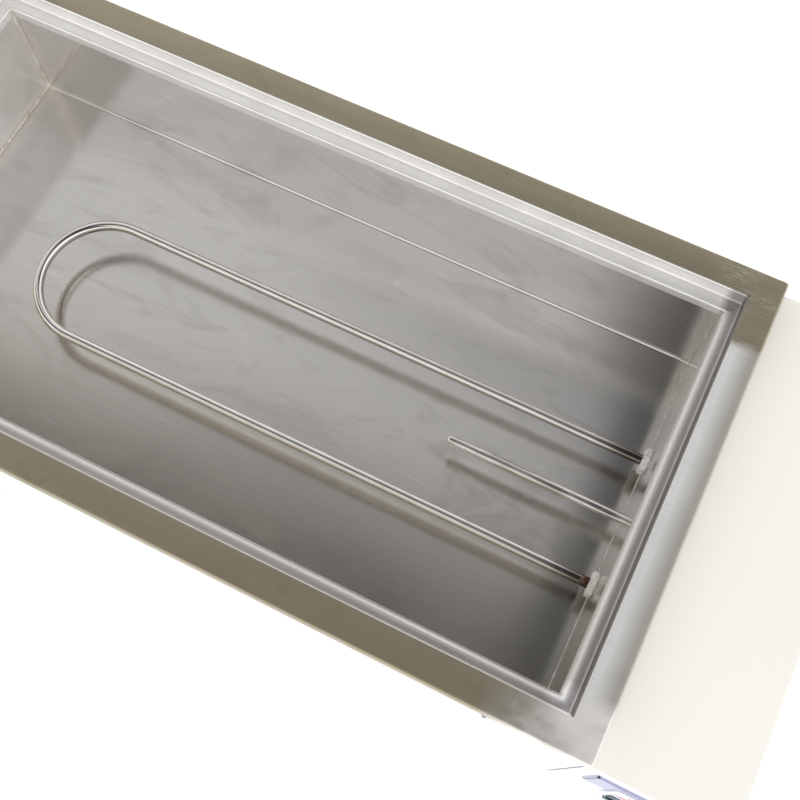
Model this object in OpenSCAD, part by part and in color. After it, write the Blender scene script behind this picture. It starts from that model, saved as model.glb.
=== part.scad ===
// Paraffin wax bath: a stainless tank with a U-shaped immersion heater, in a coated steel
// casing with a control box on its right-hand end.
//
// +Z is up, -Y is the front, and the control box is at +X. The origin is on the table, under
// the middle of the whole bath. Inside the file, x = 0 and y = 0 are the middle of the tank, and
// on_table() moves each piece to the origin.

/* [Tank] */
// Inside length of the tank
tank_l = 600; // [500:10:700]
// Inside width of the tank, front to back
tank_w = 291; // [280:1:360]
// Depth from the rim's top face to the tank's floor
tank_depth = 111; // [100:1:120]
// Thickness of the stainless and casing sheet
sheet = 1; // [0.8:0.1:1]

/* [Rim] */
// Width of the rim's flat top flange
rim_flange = 23; // [21:0.5:26]
// Width of the ledge that a lid would rest on
ledge_w = 10.5; // [9:0.5:12]
// Height of the rim's top face above the ledge
ledge_drop = 12.4; // [11:0.2:14]
// Height of the rim's down-turned skirt
skirt_h = 15; // [12:0.5:15]

/* [Casing] */
// Height of the rim's top face above the table
body_h = 240; // [238:1:250]
// Height of the rubber feet
foot_h = 14; // [12:0.5:16]
// Length of the control box beyond the rim
control_l = 95; // [90:1:110]
// How far the control box's top lies below the rim's top face
control_drop = 16.5; // [16.5:0.5:20]

/* [Heater] */
// Diameter of the heater's tube
heater_d = 8; // [7:0.5:8]
// Distance between the heater's two legs
heater_gap = 101.7; // [80:0.1:110]
// Where the middle of the heater lies, from the middle of the tank
heater_y = -7.4; // [-10:0.1:5]
// Height of the heater's centre line above the floor
heater_lift = 28.5; // [24:0.5:34]
// Distance from the right-hand end wall to the centre of the heater's bend
heater_reach = 441.5; // [300:0.5:450]

/* [Probe] */
// Diameter of the probe well
probe_d = 8; // [7.5:0.5:9]
// Where the probe well lies, from the middle of the tank
probe_y = -4.5; // [-8:0.5:2]
// Length of the probe well inside the tank
probe_l = 142.5; // [100:0.5:200]

/* [Controls] */
// Width of the fascia
fascia_w = 73; // [68:1:80]
// Height of the fascia
fascia_h = 150; // [140:1:160]
// Distance from the control box's top down to the fascia
fascia_drop = 28.5; // [24:0.5:30]
// Travel of a key
key_travel = 0.6; // [0.4:0.1:0.6]
// Half of the rocker switch's throw, in degrees
rocker_tilt = 8.7; // [6:0.1:8.7]

/* [Drain] */
// Where the drain lies, from the middle of the tank
drain_y = -95; // [-110:1:-60]
// Outside diameter of the hose tail
hose_d = 13; // [12:0.5:14]

/* [Hidden] */
$fn = 64;

// Small distances used throughout
eps = 0.1;              // a piece laid beside another
slip = 0.05;            // a round piece that goes into a hole
over = 1;               // how far a cut runs past the material

// Heights
rim_z = body_h;
ledge_z = rim_z - ledge_drop;
lip_z = ledge_z - 8;
floor_z = rim_z - tank_depth;
box_z = rim_z - control_drop;
pan_z = foot_h;
pan_t = 1.2;
pan_edge = 20;
pan_top = pan_z + pan_t;
flange_z = rim_z - 1.6; // centre line of the panels' flanges, turned in under the rim

// Half sizes in plan
in_x = tank_l / 2;
in_y = tank_w / 2;
rim_x = in_x + ledge_w + rim_flange;
rim_y = in_y + ledge_w + rim_flange;
shell_x = rim_x - sheet - 0.5;
shell_y = rim_y - sheet - 0.5;
box_x = rim_x + control_l;
box_mid = (rim_x + box_x) / 2;
lip_x = shell_x + 0.8;   // centre line of the cover's lip, beside the partition

// Folds, as radii on the sheet's centre line
fold_tight = 1.2;
fold_soft = 2.6;

// Heater and probe
heater_z = floor_z + heater_lift;
heater_r = heater_gap / 2;
leg_y = [heater_y - heater_r, heater_y + heater_r];
bush_d = 14;
bush_af = 18;
bush_head = 5;
gasket_d = 17.5;
gasket_t = 0.5;
sheath_end = in_x + 44;
pin_end = sheath_end + 22;
well_end = in_x + 22;

// Insulation and its supports
wool_z = pan_top + 62.3;
wool_top = lip_z - 1.6;
rail_x = 0.3 * tank_l;

// Air slots, with almost round ends
side_slot = [60, 4];
back_slot = [56, 4];
slot_r = 1.9;

// Screws: M4 pan heads
screw_d = 3.9;
screw_head = 7;
screw_rise = 2.3;
screw_l = 8;
foot_screw_l = 12;
foot_screw_z = foot_h - 6;
low_screw_z = pan_top + 9;
top_screw_z = rim_z - 36.5;
top_screw_x = 0.44 * tank_l;
foot_x = [-(shell_x - 32), box_x - 32];
foot_y = shell_y - 30;

// Fascia, controller and switch, on the control box's front
panel_y = -shell_y;
fascia_y = panel_y - 1.5;
fascia_top = box_z - fascia_drop;
bezel_w = 39;
bezel_h = 84;
bezel_t = 1.2;
bezel_y = fascia_y - bezel_t;
bezel_top = fascia_top - 8;
bezel_mid = bezel_top - bezel_h / 2;
cutout = [35.6, 80.6];
lens = [31, 16];
lens_z = bezel_top - 38;
key = [12, 8];
key_gap = 0.3;
key_out = 0.7;
key_switch_y = 3.4;     // the board's key switches, behind the fascia's face
key_play = 0.5;         // between a pressed key's stem and its switch
lamp_d = 3;
lamp_z = bezel_top - 17;
switch_z = fascia_top - 111.5;
switch_frame = [21, 15];
switch_body = [18.8, 12.8];
frame_y = fascia_y - 2;
rocker_r = 8.6;
rocker_w = 11;
rocker_y = fascia_y + 0.5;
rocker_tip = 22;        // angle of the rocker's tips above its pivot

// Back of the control box
back_y = shell_y;
gland_z = pan_top + 45;
gland_out = 20;
cord_d = 8;
fuse_z = gland_z + 45;

// Drain, measured outwards from the left-hand shell panel
drain_z = floor_z + 9.6;
pipe_d = 18;
pipe_bore = 14;
ball_at = 33;
ball_r = 10;
tail_end = 93;
stem_top = 34;
lever_l = 74;

// The whole bath's box, and the move that puts its middle over the origin
x_low = -(shell_x + tail_end);
x_high = box_x + screw_rise;
y_low = rocker_y - rocker_r * sin(rocker_tip + rocker_tilt);
y_high = back_y + gland_out;
to_origin = [-(x_low + x_high) / 2, -(y_low + y_high) / 2, 0];

// ---- helpers -------------------------------------------------------------------------------

module on_table() translate(to_origin) children();

// Stand a flat outline up: its x and y become Y and Z, and it runs along X; or X and Z, along Y
module along_x(l) rotate([90, 0, 90]) linear_extrude(l, center = true) children();
module along_y(l) rotate([90, 0, 0]) linear_extrude(l, center = true) children();

// Turn +Z to point out of a side of the casing
module facing(side)
    rotate(side == "front" ? [90, 0, 0] : side == "back" ? [-90, 0, 0]
         : side == "left" ? [0, -90, 0] : [0, 90, 0])
        children();

function unit(v) = v / norm(v);
function left(v) = [-v[1], v[0]];
function backwards(v) = [for (i = [len(v) - 1:-1:0]) v[i]];

// One side of a fold at q, between p and w: points at a distance from the sheet's centre line
function fold(p, q, w, r, side) =
    let (a = unit(q - p), b = unit(w - q),
         turn = sign(a[0] * b[1] - a[1] * b[0]),
         angle = acos(a * b),
         from = q - a * r * tan(angle / 2),
         centre = from + left(a) * turn * r,
         spoke = -turn * (r - turn * side) * left(a))
    [for (k = [0:5])
        let (t = turn * angle * k / 5)
        centre + [spoke[0] * cos(t) - spoke[1] * sin(t), spoke[0] * sin(t) + spoke[1] * cos(t)]];

// One side of a folded sheet, from end to end
function sheet_side(path, r, side) =
    let (n = len(path) - 1)
    concat([path[0] + left(unit(path[1] - path[0])) * side],
           [for (i = [1:1:n - 1]) each fold(path[i - 1], path[i], path[i + 1], r, side)],
           [path[n] + left(unit(path[n] - path[n - 1])) * side]);

// A folded sheet seen end on
module folded(path, r = fold_tight, t = sheet)
    polygon(concat(sheet_side(path, r, t / 2), backwards(sheet_side(path, r, -t / 2))));

// A block given by its lowest and highest corners
module block(low, high) translate(low) cube(high - low);

// A block in the control box's front: centre x and z, width and height, and its y span
module front_block(x, z, size, y0, y1)
    block([x - size[0] / 2, y0, z - size[1] / 2], [x + size[0] / 2, y1, z + size[1] / 2]);

module tube(d, bore, h)
    difference() {
        cylinder(d = d, h = h);
        translate([0, 0, -over]) cylinder(d = bore, h = h + 2 * over);
    }

module hexagon(af, h) cylinder(d = af / cos(30), h = h, $fn = 6);

// A rectangle with round corners
module rounded(size, r) {
    square(size - [2 * r, 0], center = true);
    square(size - [0, 2 * r], center = true);
    for (x = [-1, 1], y = [-1, 1])
        translate([x * (size[0] / 2 - r), y * (size[1] / 2 - r)]) circle(r);
}

// ---- tank and rim --------------------------------------------------------------------------

module tank_trough() color("#b9b7b2")
    on_table() along_x(tank_l)
        folded([[-in_y - sheet / 2, lip_z], [-in_y - sheet / 2, floor_z - sheet / 2],
                [in_y + sheet / 2, floor_z - sheet / 2], [in_y + sheet / 2, lip_z]], fold_soft);

// An end plate, outside the trough's end: square at the top, round at the trough's folds
module tank_end() {
    r = fold_soft + sheet / 2;
    h = lip_z - floor_z + sheet;
    along_x(sheet) translate([0, floor_z - sheet + h / 2]) {
        rounded([tank_w + 2 * sheet, h], r);
        translate([-in_y - sheet, 0]) square([tank_w + 2 * sheet, h / 2]);
    }
}

module tank_end_left() color("#bdbbb6")
    on_table() difference() {
        translate([-in_x - sheet / 2, 0, 0]) tank_end();
        drain_axis() translate([0, 0, -shell_x + in_x - over]) cylinder(d = pipe_d, h = 3 * over);
    }

module tank_end_right() color("#bdbbb6")
    on_table() difference() {
        translate([in_x + sheet / 2, 0, 0]) tank_end();
        for (y = leg_y) translate([in_x - over, y, heater_z]) rotate([0, 90, 0])
            cylinder(d = bush_d + 2 * slip, h = 3 * over);
        translate([in_x - over, probe_y, heater_z]) rotate([0, 90, 0])
            cylinder(d = probe_d, h = 3 * over);
    }

// One side of the rim: lip, ledge, rebate wall, flange and skirt, mitred at both ends.
// half_l and half_w are the tank's half sizes along and across this side.
module rim_side(half_l, half_w) {
    reach = ledge_w + rim_flange;
    h = sheet / 2;
    intersection() {
        along_x(2 * (half_l + reach + over)) translate([half_w, 0])
            folded([[h, lip_z], [h, ledge_z - h], [ledge_w + h, ledge_z - h],
                    [ledge_w + h, rim_z - h], [reach - h, rim_z - h], [reach - h, rim_z - skirt_h]]);
        linear_extrude(2 * rim_z) polygon([
            [-half_l + over, half_w - over], [half_l - over, half_w - over],
            [half_l + reach + over, half_w + reach + over],
            [-half_l - reach - over, half_w + reach + over]]);
    }
}

module rim_front() color("#a8a49b") on_table() rotate(180) rim_side(in_x, in_y);
module rim_back() color("#a8a49b") on_table() rim_side(in_x, in_y);
module rim_left() color("#b3b0a8") on_table() rotate(90) rim_side(in_y, in_x);
module rim_right() color("#b3b0a8") on_table() rotate(-90) rim_side(in_y, in_x);

// ---- heater --------------------------------------------------------------------------------

// The two places where the heater's legs pass the right-hand end wall, pointing outwards
module at_legs()
    for (y = leg_y) translate([in_x, y, heater_z]) rotate([0, 90, 0]) children();

module heater_tube() color("#c9c6bf")
    on_table() {
        bend_x = in_x - heater_reach;
        translate([bend_x, heater_y, heater_z]) rotate(90)
            rotate_extrude(angle = 180) translate([heater_r, 0]) circle(d = heater_d);
        for (y = leg_y) translate([bend_x, y, heater_z]) rotate([0, 90, 0])
            cylinder(d = heater_d, h = sheath_end - bend_x);
    }

module heater_bushes() color("#c3bfb3")
    on_table() at_legs() difference() {
        translate([0, 0, -gasket_t - bush_head]) {
            hexagon(bush_af, bush_head);
            cylinder(d = bush_d, h = gasket_t + bush_head + 18);
        }
        translate([0, 0, -20]) cylinder(d = heater_d + 2 * slip, h = 50);
    }

module heater_gaskets() color("#d8d5cd")
    on_table() at_legs() translate([0, 0, -gasket_t]) tube(gasket_d, bush_d + 2 * slip, gasket_t);

module heater_lock_nuts() color("#c9a24d")
    on_table() at_legs() translate([0, 0, sheet]) difference() {
        union() {
            cylinder(d = 24, h = 1.6);
            translate([0, 0, 1.6]) rotate(30) hexagon(19, 6);
        }
        translate([0, 0, -over]) cylinder(d = bush_d + 2 * slip, h = 12);
    }

module heater_insulators() color("#f0ede2")
    on_table() at_legs() translate([0, 0, sheath_end - in_x]) difference() {
        union() {
            cylinder(d = heater_d, h = 3);
            translate([0, 0, 3]) cylinder(d1 = heater_d, d2 = 5.6, h = 4);
        }
        translate([0, 0, -over]) cylinder(d = 4 + 2 * slip, h = 10);
    }

module heater_terminals() color("#b8b8ba")
    on_table() at_legs() translate([0, 0, sheath_end - in_x]) {
        cylinder(d = 4, h = pin_end - sheath_end);
        for (z = [9, 14]) translate([0, 0, z]) hexagon(7, 3.2);
    }

// ---- probe ---------------------------------------------------------------------------------

module probe_well() color("#a9a7a3")
    on_table() translate([in_x - probe_l + probe_d / 2, probe_y, heater_z]) rotate([0, 90, 0])
        difference() {
            union() {
                sphere(d = probe_d);
                cylinder(d = probe_d, h = well_end - in_x + probe_l - probe_d / 2);
            }
            cylinder(d = probe_d - 2, h = probe_l + 60);
        }

module temperature_sensor() color("#8f9296")
    on_table() translate([in_x - probe_l + probe_d, probe_y, heater_z]) rotate([0, 90, 0]) {
        cylinder(d = probe_d - 3, h = 35);
        cylinder(d = 3, h = probe_l + 34);
    }

// ---- screws --------------------------------------------------------------------------------

// Every panel screw: its place on the casing's outside, and the side that it faces. The front
// panels have none along the bottom, where they hook behind the pan's edge.
screw_spots = concat(
    [for (x = [-1, 1]) [[x * top_screw_x, -shell_y, top_screw_z], "front"]],
    [for (x = [-1, 1]) [[x * top_screw_x, shell_y, top_screw_z], "back"]],
    [for (x = [-1, 0, 1]) [[x * 0.5 * tank_l, shell_y, low_screw_z], "back"]],
    [for (y = [-1, 1]) [[-shell_x, y * 0.4 * tank_w, low_screw_z], "left"]],
    [for (x = [-1, 1]) [[box_mid + x * 0.4 * control_l, shell_y, low_screw_z], "back"]],
    [for (y = [-1, 1]) [[box_x, y * 0.5 * tank_w, low_screw_z], "right"]]);

module at_screws() for (s = screw_spots) translate(s[0]) facing(s[1]) children();

// Clearance holes in a panel, and the tapped holes behind it
module screw_holes() at_screws() translate([0, 0, -1.05]) cylinder(d = 4.4, h = 2, $fn = 24);
module tapped_holes() at_screws() translate([0, 0, -7]) cylinder(d = 4, h = 7, $fn = 24);

// A pan-head screw with a cross recess, its head above z = 0
module screw(l)
    difference() {
        union() {
            intersection() {
                cylinder(d = screw_head, h = screw_rise, $fn = 32);
                translate([0, 0, screw_rise - 6]) sphere(r = 6);
            }
            translate([0, 0, -l]) cylinder(d = screw_d, h = l, $fn = 24);
        }
        for (a = [0, 90]) rotate(a) translate([-2.1, -0.4, 1.1]) cube([4.2, 0.8, 2]);
    }

module at_feet()
    for (x = foot_x, y = [-foot_y, foot_y]) translate([x, y, 0]) children();

module screws() color("#d4d4d2")
    on_table() {
        at_screws() screw(screw_l);
        at_feet() translate([0, 0, foot_screw_z]) rotate([180, 0, 0]) screw(foot_screw_l);
    }

module feet() color("#26262a")
    on_table() at_feet() difference() {
        cylinder(d1 = 28, d2 = 32, h = foot_h);
        translate([0, 0, -over]) cylinder(d = 12, h = foot_screw_z + over);
        cylinder(d = 4.4, h = foot_h + over);
    }

// ---- casing --------------------------------------------------------------------------------

// The front or back shell panel: a wall with a narrow flange turned in under the rim, and
// notched where the end panels' flanges meet it
module shell_side(y_side) {
    flange = 17.5;
    difference() {
        along_x(2 * shell_x) scale([y_side, 1])
            folded([[shell_y - flange, flange_z], [shell_y - sheet / 2, flange_z],
                    [shell_y - sheet / 2, pan_z]]);
        notch = shell_y - sheet - eps / 2;
        for (x = [-1, 1]) block([x * (shell_x - 8) - 9, y_side > 0 ? 0 : -notch, lip_z],
                                [x * (shell_x - 8) + 9, y_side > 0 ? notch : 0, rim_z]);
        screw_holes();
    }
}

module shell_front() color("#f4f5f8") on_table() shell_side(-1);
module shell_back() color("#f4f5f8") on_table() shell_side(1);

module shell_left() color("#f4f5f8")
    on_table() difference() {
        along_y(2 * (shell_y - sheet - eps))
            folded([[-shell_x + 16, flange_z], [-shell_x + sheet / 2, flange_z],
                    [-shell_x + sheet / 2, pan_z]]);
        screw_holes();
        drain_axis() translate([0, 0, -5]) cylinder(d = 22, h = 10);
    }

module partition() color("#c8ccd0")
    on_table() difference() {
        along_y(2 * (shell_y - 2.6))
            folded([[shell_x - 16, flange_z], [shell_x - sheet / 2, flange_z],
                    [shell_x - sheet / 2, pan_top + sheet / 2], [shell_x + 12, pan_top + sheet / 2]]);
        at_legs() cylinder(d = 20, h = 60);
        translate([in_x, probe_y, heater_z]) rotate([0, 90, 0]) cylinder(d = 12, h = 60);
    }

module base_pan() color("#b4b8bc")
    on_table() difference() {
        low_x = -shell_x + sheet + eps;
        high_x = box_x - sheet - eps;
        y = shell_y - sheet - eps;
        block([low_x, -y, pan_z], [high_x, y, pan_z + pan_edge]);
        block([low_x + pan_t, -y + pan_t, pan_top], [high_x - pan_t, y - pan_t, rim_z]);
        tapped_holes();
        at_feet() cylinder(d = 4, h = rim_z);
        // air slots under the controls
        for (x = [-3:3]) block([box_mid + 10 * x - 2, -90, 0], [box_mid + 10 * x + 2, -20, rim_z / 4]);
    }

// Two hat-section rails that carry the insulation under the tank
module support_rails() color("#b4b8bc")
    on_table() for (x = [-rail_x, rail_x]) translate([x, 0, 0])
        along_y(2 * shell_y - 16)
            folded([[-30, pan_top + sheet / 2], [-15, pan_top + sheet / 2],
                    [-15, wool_z - sheet / 2], [15, wool_z - sheet / 2],
                    [15, pan_top + sheet / 2], [30, pan_top + sheet / 2]]);

// Four folded brackets, welded to the rim's rebate wall, that the upper screws pull against
module hanger_brackets() color("#b9b7b2")
    on_table() difference() {
        t = 2;
        wall = in_y + ledge_w + sheet + t / 2;
        for (x = [-1, 1], s = [-1, 1])
            translate([x * top_screw_x, 0, 0]) along_x(24) scale([s, 1])
                folded([[shell_y - sheet - eps - t / 2, top_screw_z - 12],
                        [shell_y - sheet - eps - t / 2, rim_z - 16],
                        [wall, rim_z - 16], [wall, rim_z - 3]], 1.6, t);
        tapped_holes();
    }

// Glass wool pads: along the front and back, at both ends, and under the floor
module insulation_sides() color("#d9cf8f")
    on_table() difference() {
        for (s = [-1, 1]) mirror([0, s < 0 ? 1 : 0, 0])
            block([-in_x - sheet, in_y + sheet + 0.5, wool_z], [in_x + sheet, shell_y - 4, wool_top]);
        at_screws() translate([0, 0, -10]) cylinder(d = 6, h = 10, $fn = 24);
    }

module insulation_ends() color("#d9cf8f")
    on_table() difference() {
        for (s = [-1, 1]) mirror([s < 0 ? 1 : 0, 0, 0])
            block([in_x + sheet + 0.5, -shell_y + 4, wool_z], [shell_x - sheet - 1, shell_y - 4, wool_top]);
        at_legs() cylinder(d = 30, h = 60);
        translate([in_x, probe_y, heater_z]) rotate([0, 90, 0]) cylinder(d = 16, h = 60);
        drain_axis() translate([0, 0, -shell_x + in_x]) cylinder(d = 24, h = 40);
    }

module insulation_base() color("#d9cf8f")
    on_table() block([-in_x - sheet, -in_y - sheet, wool_z], [in_x + sheet, in_y + sheet, floor_z - 1.5]);

// ---- control box ---------------------------------------------------------------------------

// The cover: a lip against the partition, the top, and the right-hand side with air slots
module control_cover() color("#efece2")
    on_table() difference() {
        along_y(2 * shell_y)
            folded([[lip_x, box_z - 20], [lip_x, box_z - sheet / 2],
                    [box_x - sheet / 2, box_z - sheet / 2], [box_x - sheet / 2, pan_z]], 1.8);
        screw_holes();
        for (i = [0:7], s = [-1, 1]) translate([box_x - 3, s * 60, box_z - 50 - 12 * i])
            along_x(10) rounded(side_slot, slot_r);
    }

// A flat panel between the cover's lip and its right-hand side, clear of the cover's folds
module control_panel(y0) {
    gap = 0.5;
    block([lip_x + sheet / 2 + 0.3, y0, pan_z], [box_x - sheet - gap, y0 + sheet, box_z - sheet - gap]);
}

module control_front() color("#f4f5f8")
    on_table() difference() {
        control_panel(panel_y);
        screw_holes();
        front_block(box_mid, bezel_mid, cutout, panel_y - over, panel_y + 2 * over);
        front_block(box_mid, switch_z, switch_body + [0.2, 0.2], panel_y - over, panel_y + 2 * over);
    }

module control_back() color("#f4f5f8")
    on_table() difference() {
        control_panel(back_y - sheet);
        screw_holes();
        translate([box_mid, back_y - 3, gland_z]) facing("back") cylinder(d = 16.1, h = 6);
        translate([box_mid, back_y - 3, fuse_z]) facing("back") cylinder(d = 12.1, h = 6);
        for (i = [0:4]) translate([box_mid, back_y, fuse_z + 32 + 12 * i])
            along_y(10) rounded(back_slot, slot_r);
    }

module fascia() color("#dcdcf0")
    on_table() difference() {
        translate([box_mid, (panel_y + fascia_y) / 2, fascia_top - fascia_h / 2])
            along_y(panel_y - fascia_y) rounded([fascia_w, fascia_h], 3);
        front_block(box_mid, bezel_mid, cutout, fascia_y - over, panel_y + over);
        front_block(box_mid, switch_z, switch_body + [0.2, 0.2], fascia_y - over, panel_y + over);
    }

// ---- controller ----------------------------------------------------------------------------

// The four keys' centres, two columns and two rows
function key_at(col, row) = [box_mid + (col - 0.5) * 16, 0, bezel_top - 60 - 12 * row];

module bezel_openings(grow) {
    for (col = [0, 1], row = [0, 1]) let (p = key_at(col, row))
        front_block(p[0], p[2], key + 2 * [key_gap, key_gap], bezel_y - over, fascia_y + grow);
    front_block(box_mid, lens_z, lens + 2 * [slip, slip], bezel_y - over, fascia_y + grow);
    for (x = [-8, 8]) translate([box_mid + x, fascia_y + grow, lamp_z]) facing("front")
        cylinder(d = lamp_d + 2 * slip, h = 6, $fn = 32);
}

module controller_bezel() color("#c9cdd3")
    on_table() difference() {
        translate([box_mid, (bezel_y + fascia_y) / 2, bezel_mid])
            along_y(bezel_t) rounded([bezel_w, bezel_h], 2);
        bezel_openings(over);
    }

// A box open to the front, held behind the panel's cut-out
module controller_housing() color("#2b2d31")
    on_table() difference() {
        front_block(box_mid, bezel_mid, cutout - [0.2, 0.2], fascia_y, fascia_y + 36);
        front_block(box_mid, bezel_mid, cutout - [3.2, 3.2], fascia_y - over, fascia_y + 34);
    }

// The board, with the key switches and the digits on its front and the parts on its back
module controller_board() color("#2f7d4a")
    on_table() {
        front_block(box_mid, bezel_mid, cutout - [4, 4], fascia_y + 6, fascia_y + 7.6);
        for (col = [0, 1], row = [0, 1]) let (p = key_at(col, row))
            front_block(p[0], p[2], [6, 6], fascia_y + key_switch_y, fascia_y + 6);
        front_block(box_mid, lens_z, lens - [2, 2], fascia_y + 1, fascia_y + 6);
        front_block(box_mid - 5, bezel_mid + 14, [16, 20], fascia_y + 7.6, fascia_y + 22);
        front_block(box_mid + 7, bezel_mid - 20, [12, 16], fascia_y + 7.6, fascia_y + 20);
    }

module display_lens() color("#c8324f")
    on_table() front_block(box_mid, lens_z, lens, bezel_y + 0.2, fascia_y);

module indicator_lamps() color("#e8b33a")
    on_table() for (x = [-8, 8]) translate([box_mid + x, fascia_y + 0.6, lamp_z]) facing("front") {
        cylinder(d = lamp_d, h = bezel_t + 0.8, $fn = 32);
        translate([0, 0, bezel_t + 0.8]) intersection() {
            translate([0, 0, -1.5]) sphere(d = 4.3, $fn = 32);
            cylinder(d = lamp_d, h = 1, $fn = 32);
        }
    }

// A key: cap, retaining flange behind the bezel, and a stem that presses the board's switch
module key_piece(col, row) {
    p = key_at(col, row);
    back = fascia_y + 0.2;
    flange = back + 0.8;
    tip = fascia_y + key_switch_y - key_play - key_travel;
    on_table() {
        translate([p[0], (bezel_y - key_out + back) / 2, p[2]])
            along_y(back - bezel_y + key_out) rounded(key, 1.2, $fn = 24);
        front_block(p[0], p[2], key + [1.8, 1.8], back, flange);
        translate([p[0], flange, p[2]]) facing("back") cylinder(d = 4, h = tip - flange);
    }
}

module key_set() color("#4a5560") key_piece(0, 0);
module key_mode() color("#4a5560") key_piece(1, 0);
module key_down() color("#4a5560") key_piece(0, 1);
module key_up() color("#4a5560") key_piece(1, 1);

// ---- power switch --------------------------------------------------------------------------

module switch_housing() color("#1d1f22")
    on_table() {
        difference() {
            union() {
                front_block(box_mid, switch_z, switch_frame, frame_y, fascia_y);
                front_block(box_mid, switch_z, switch_body, fascia_y, fascia_y + 16);
            }
            front_block(box_mid, switch_z, [2 * rocker_r + 0.6, rocker_w + 0.6],
                        frame_y - over, fascia_y + 12);
            translate([box_mid, rocker_y, switch_z]) cylinder(d = 2.1, h = 12.4, center = true, $fn = 32);
        }
        for (x = [-1, 1]) front_block(box_mid + 6 * x, switch_z, [0.8, 4.8], fascia_y + 16, fascia_y + 24);
    }

// The rocker turns about Z. Its front is a shallow V, and its ends are arcs about the pivot, so
// the gap to the frame stays the same as it tips. At rest its right-hand wing lies flat.
module power_rocker() color("#1f8f86")
    on_table() translate([box_mid, rocker_y, switch_z]) rotate(rocker_tilt) {
        linear_extrude(rocker_w, center = true) polygon(concat(
            [for (a = [0:5]) let (t = rocker_tip - a * 9) [rocker_r * cos(t), -rocker_r * sin(t)]],
            [[3, 6], [-3, 6]],
            [for (a = [0:5]) let (t = rocker_tip - 45 + a * 9) [-rocker_r * cos(t), -rocker_r * sin(t)]],
            [[0, -rocker_r * (sin(rocker_tip) - cos(rocker_tip) * tan(rocker_tilt))]]));
        cylinder(d = 2, h = rocker_w + 1.2, center = true, $fn = 32);
    }

// ---- inside the control box ----------------------------------------------------------------

module relay() color("#33363b")
    on_table() translate([box_mid, 70, pan_top]) {
        block([-22, -29, 0], [22, 29, 4]);
        block([-22, -21, 4], [22, 21, 24]);
        for (x = [-1, 1], y = [-1, 1]) translate([12 * x, 25 * y, 4]) cylinder(d = 7, h = 3, $fn = 32);
    }

module terminal_block() color("#e6e2d3")
    on_table() translate([box_mid, 135, pan_top]) difference() {
        block([-30, -9, 0], [30, 9, 17]);
        for (i = [-2:2]) {
            block([11 * i - 3.5, -10, 6], [11 * i + 3.5, -4, 18]);
            block([11 * i - 3.5, 4, 6], [11 * i + 3.5, 10, 18]);
        }
    }

// A six-sided tube along a route. Each ring lies in the plane that halves a corner.
function round_corner(p, q, w, r) =
    let (a = q - unit(q - p) * r, b = q + unit(w - q) * r)
    [for (t = [0, 0.33, 0.67, 1]) (1 - t) * (1 - t) * a + 2 * t * (1 - t) * q + t * t * b];
function route(points, r) =
    let (n = len(points) - 1)
    concat([points[0]], [for (i = [1:1:n - 1]) each round_corner(points[i - 1], points[i], points[i + 1], r)],
           [points[n]]);
function slide_to(ring, along, at, normal) =
    [for (v = ring) v + along * (((at - v) * normal) / (along * normal))];
function rings(path, ring, i = 1, done = []) =
    i == len(path) ? concat(done, [ring])
    : let (along = unit(path[i] - path[i - 1]),
           next = i == len(path) - 1 ? along : unit(path[i + 1] - path[i]),
           moved = slide_to(ring, along, path[i], unit(along + next)))
      rings(path, moved, i + 1, concat(done, [ring]));

module wire(points, d = 3, r = 12) {
    path = route(points, r);
    along = unit(path[1] - path[0]);
    side = unit(cross(along, abs(along[2]) > 0.9 ? [1, 0, 0] : [0, 0, 1]));
    up = cross(side, along);
    start = [for (k = [0:5]) path[0] + d / 2 * (cos(60 * k) * side + sin(60 * k) * up)];
    all_rings = rings(path, start);
    n = len(all_rings);
    polyhedron([for (ring = all_rings) each ring],
        concat([[0, 1, 2, 3, 4, 5]],
               [for (i = [0:n - 2], k = [0:5])
                   [6 * i + k, 6 * i + 6 + k, 6 * i + 6 + (k + 1) % 6, 6 * i + (k + 1) % 6]],
               [[for (k = [5:-1:0]) 6 * (n - 1) + k]]));
}

module internal_wiring() color("#7a3b3b")
    on_table() {
        base = pan_top + 30;
        // mains, from the gland to the terminal block
        wire([[box_mid, back_y - 14, gland_z], [box_mid, 144, gland_z],
              [box_mid, 144, pan_top + 17.5]], 6, 10);
        // the two wires to the power switch
        for (x = [-1, 1])
            wire([[box_mid + 22 * x, 135, pan_top + 17.5], [box_mid + 22 * x, 135, base + 15],
                  [box_mid + 32 * x, 100, base + 15], [box_mid + 32 * x, -110, base + 15],
                  [box_mid + 6 * x, -130, switch_z], [box_mid + 6 * x, fascia_y + 24.5, switch_z]]);
        // one wire to each of the heater's terminals
        wire([[box_mid - 11, 60, pan_top + 24.5], [box_mid - 11, 60, 110], [pin_end + 4, leg_y[1], 130],
              [pin_end + 4, leg_y[1], heater_z - 2]]);
        wire([[box_mid + 11, 60, pan_top + 24.5], [box_mid + 11, 40, 90], [pin_end + 4, leg_y[0], 120],
              [pin_end + 4, leg_y[0], heater_z - 2]]);
    }

// ---- cord gland and fuse holder ------------------------------------------------------------

module at_back(z, out) translate([box_mid, back_y + out, z]) facing("back") children();

module gland_body() color("#2c2e33")
    on_table() difference() {
        union() {
            at_back(gland_z, 0) hexagon(20, 4);
            at_back(gland_z, -13) cylinder(d = 16, h = 20);
            at_back(gland_z, -7) hexagon(20, 5.9);
        }
        at_back(gland_z, -14) cylinder(d = 12.2, h = 30);
    }

module gland_seal() color("#1a1a1c")
    on_table() at_back(gland_z, -1) tube(12.1, cord_d, 10);

module gland_nut() color("#2c2e33")
    on_table() difference() {
        union() {
            at_back(gland_z, 4.2) hexagon(20, 8);
            at_back(gland_z, 12.2) cylinder(d1 = 20, d2 = 13, h = gland_out - 12.2);
        }
        at_back(gland_z, 4) cylinder(d = 16.1, h = 5.2);
        at_back(gland_z, 4) cylinder(d = cord_d + 0.6, h = 30);
    }

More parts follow.
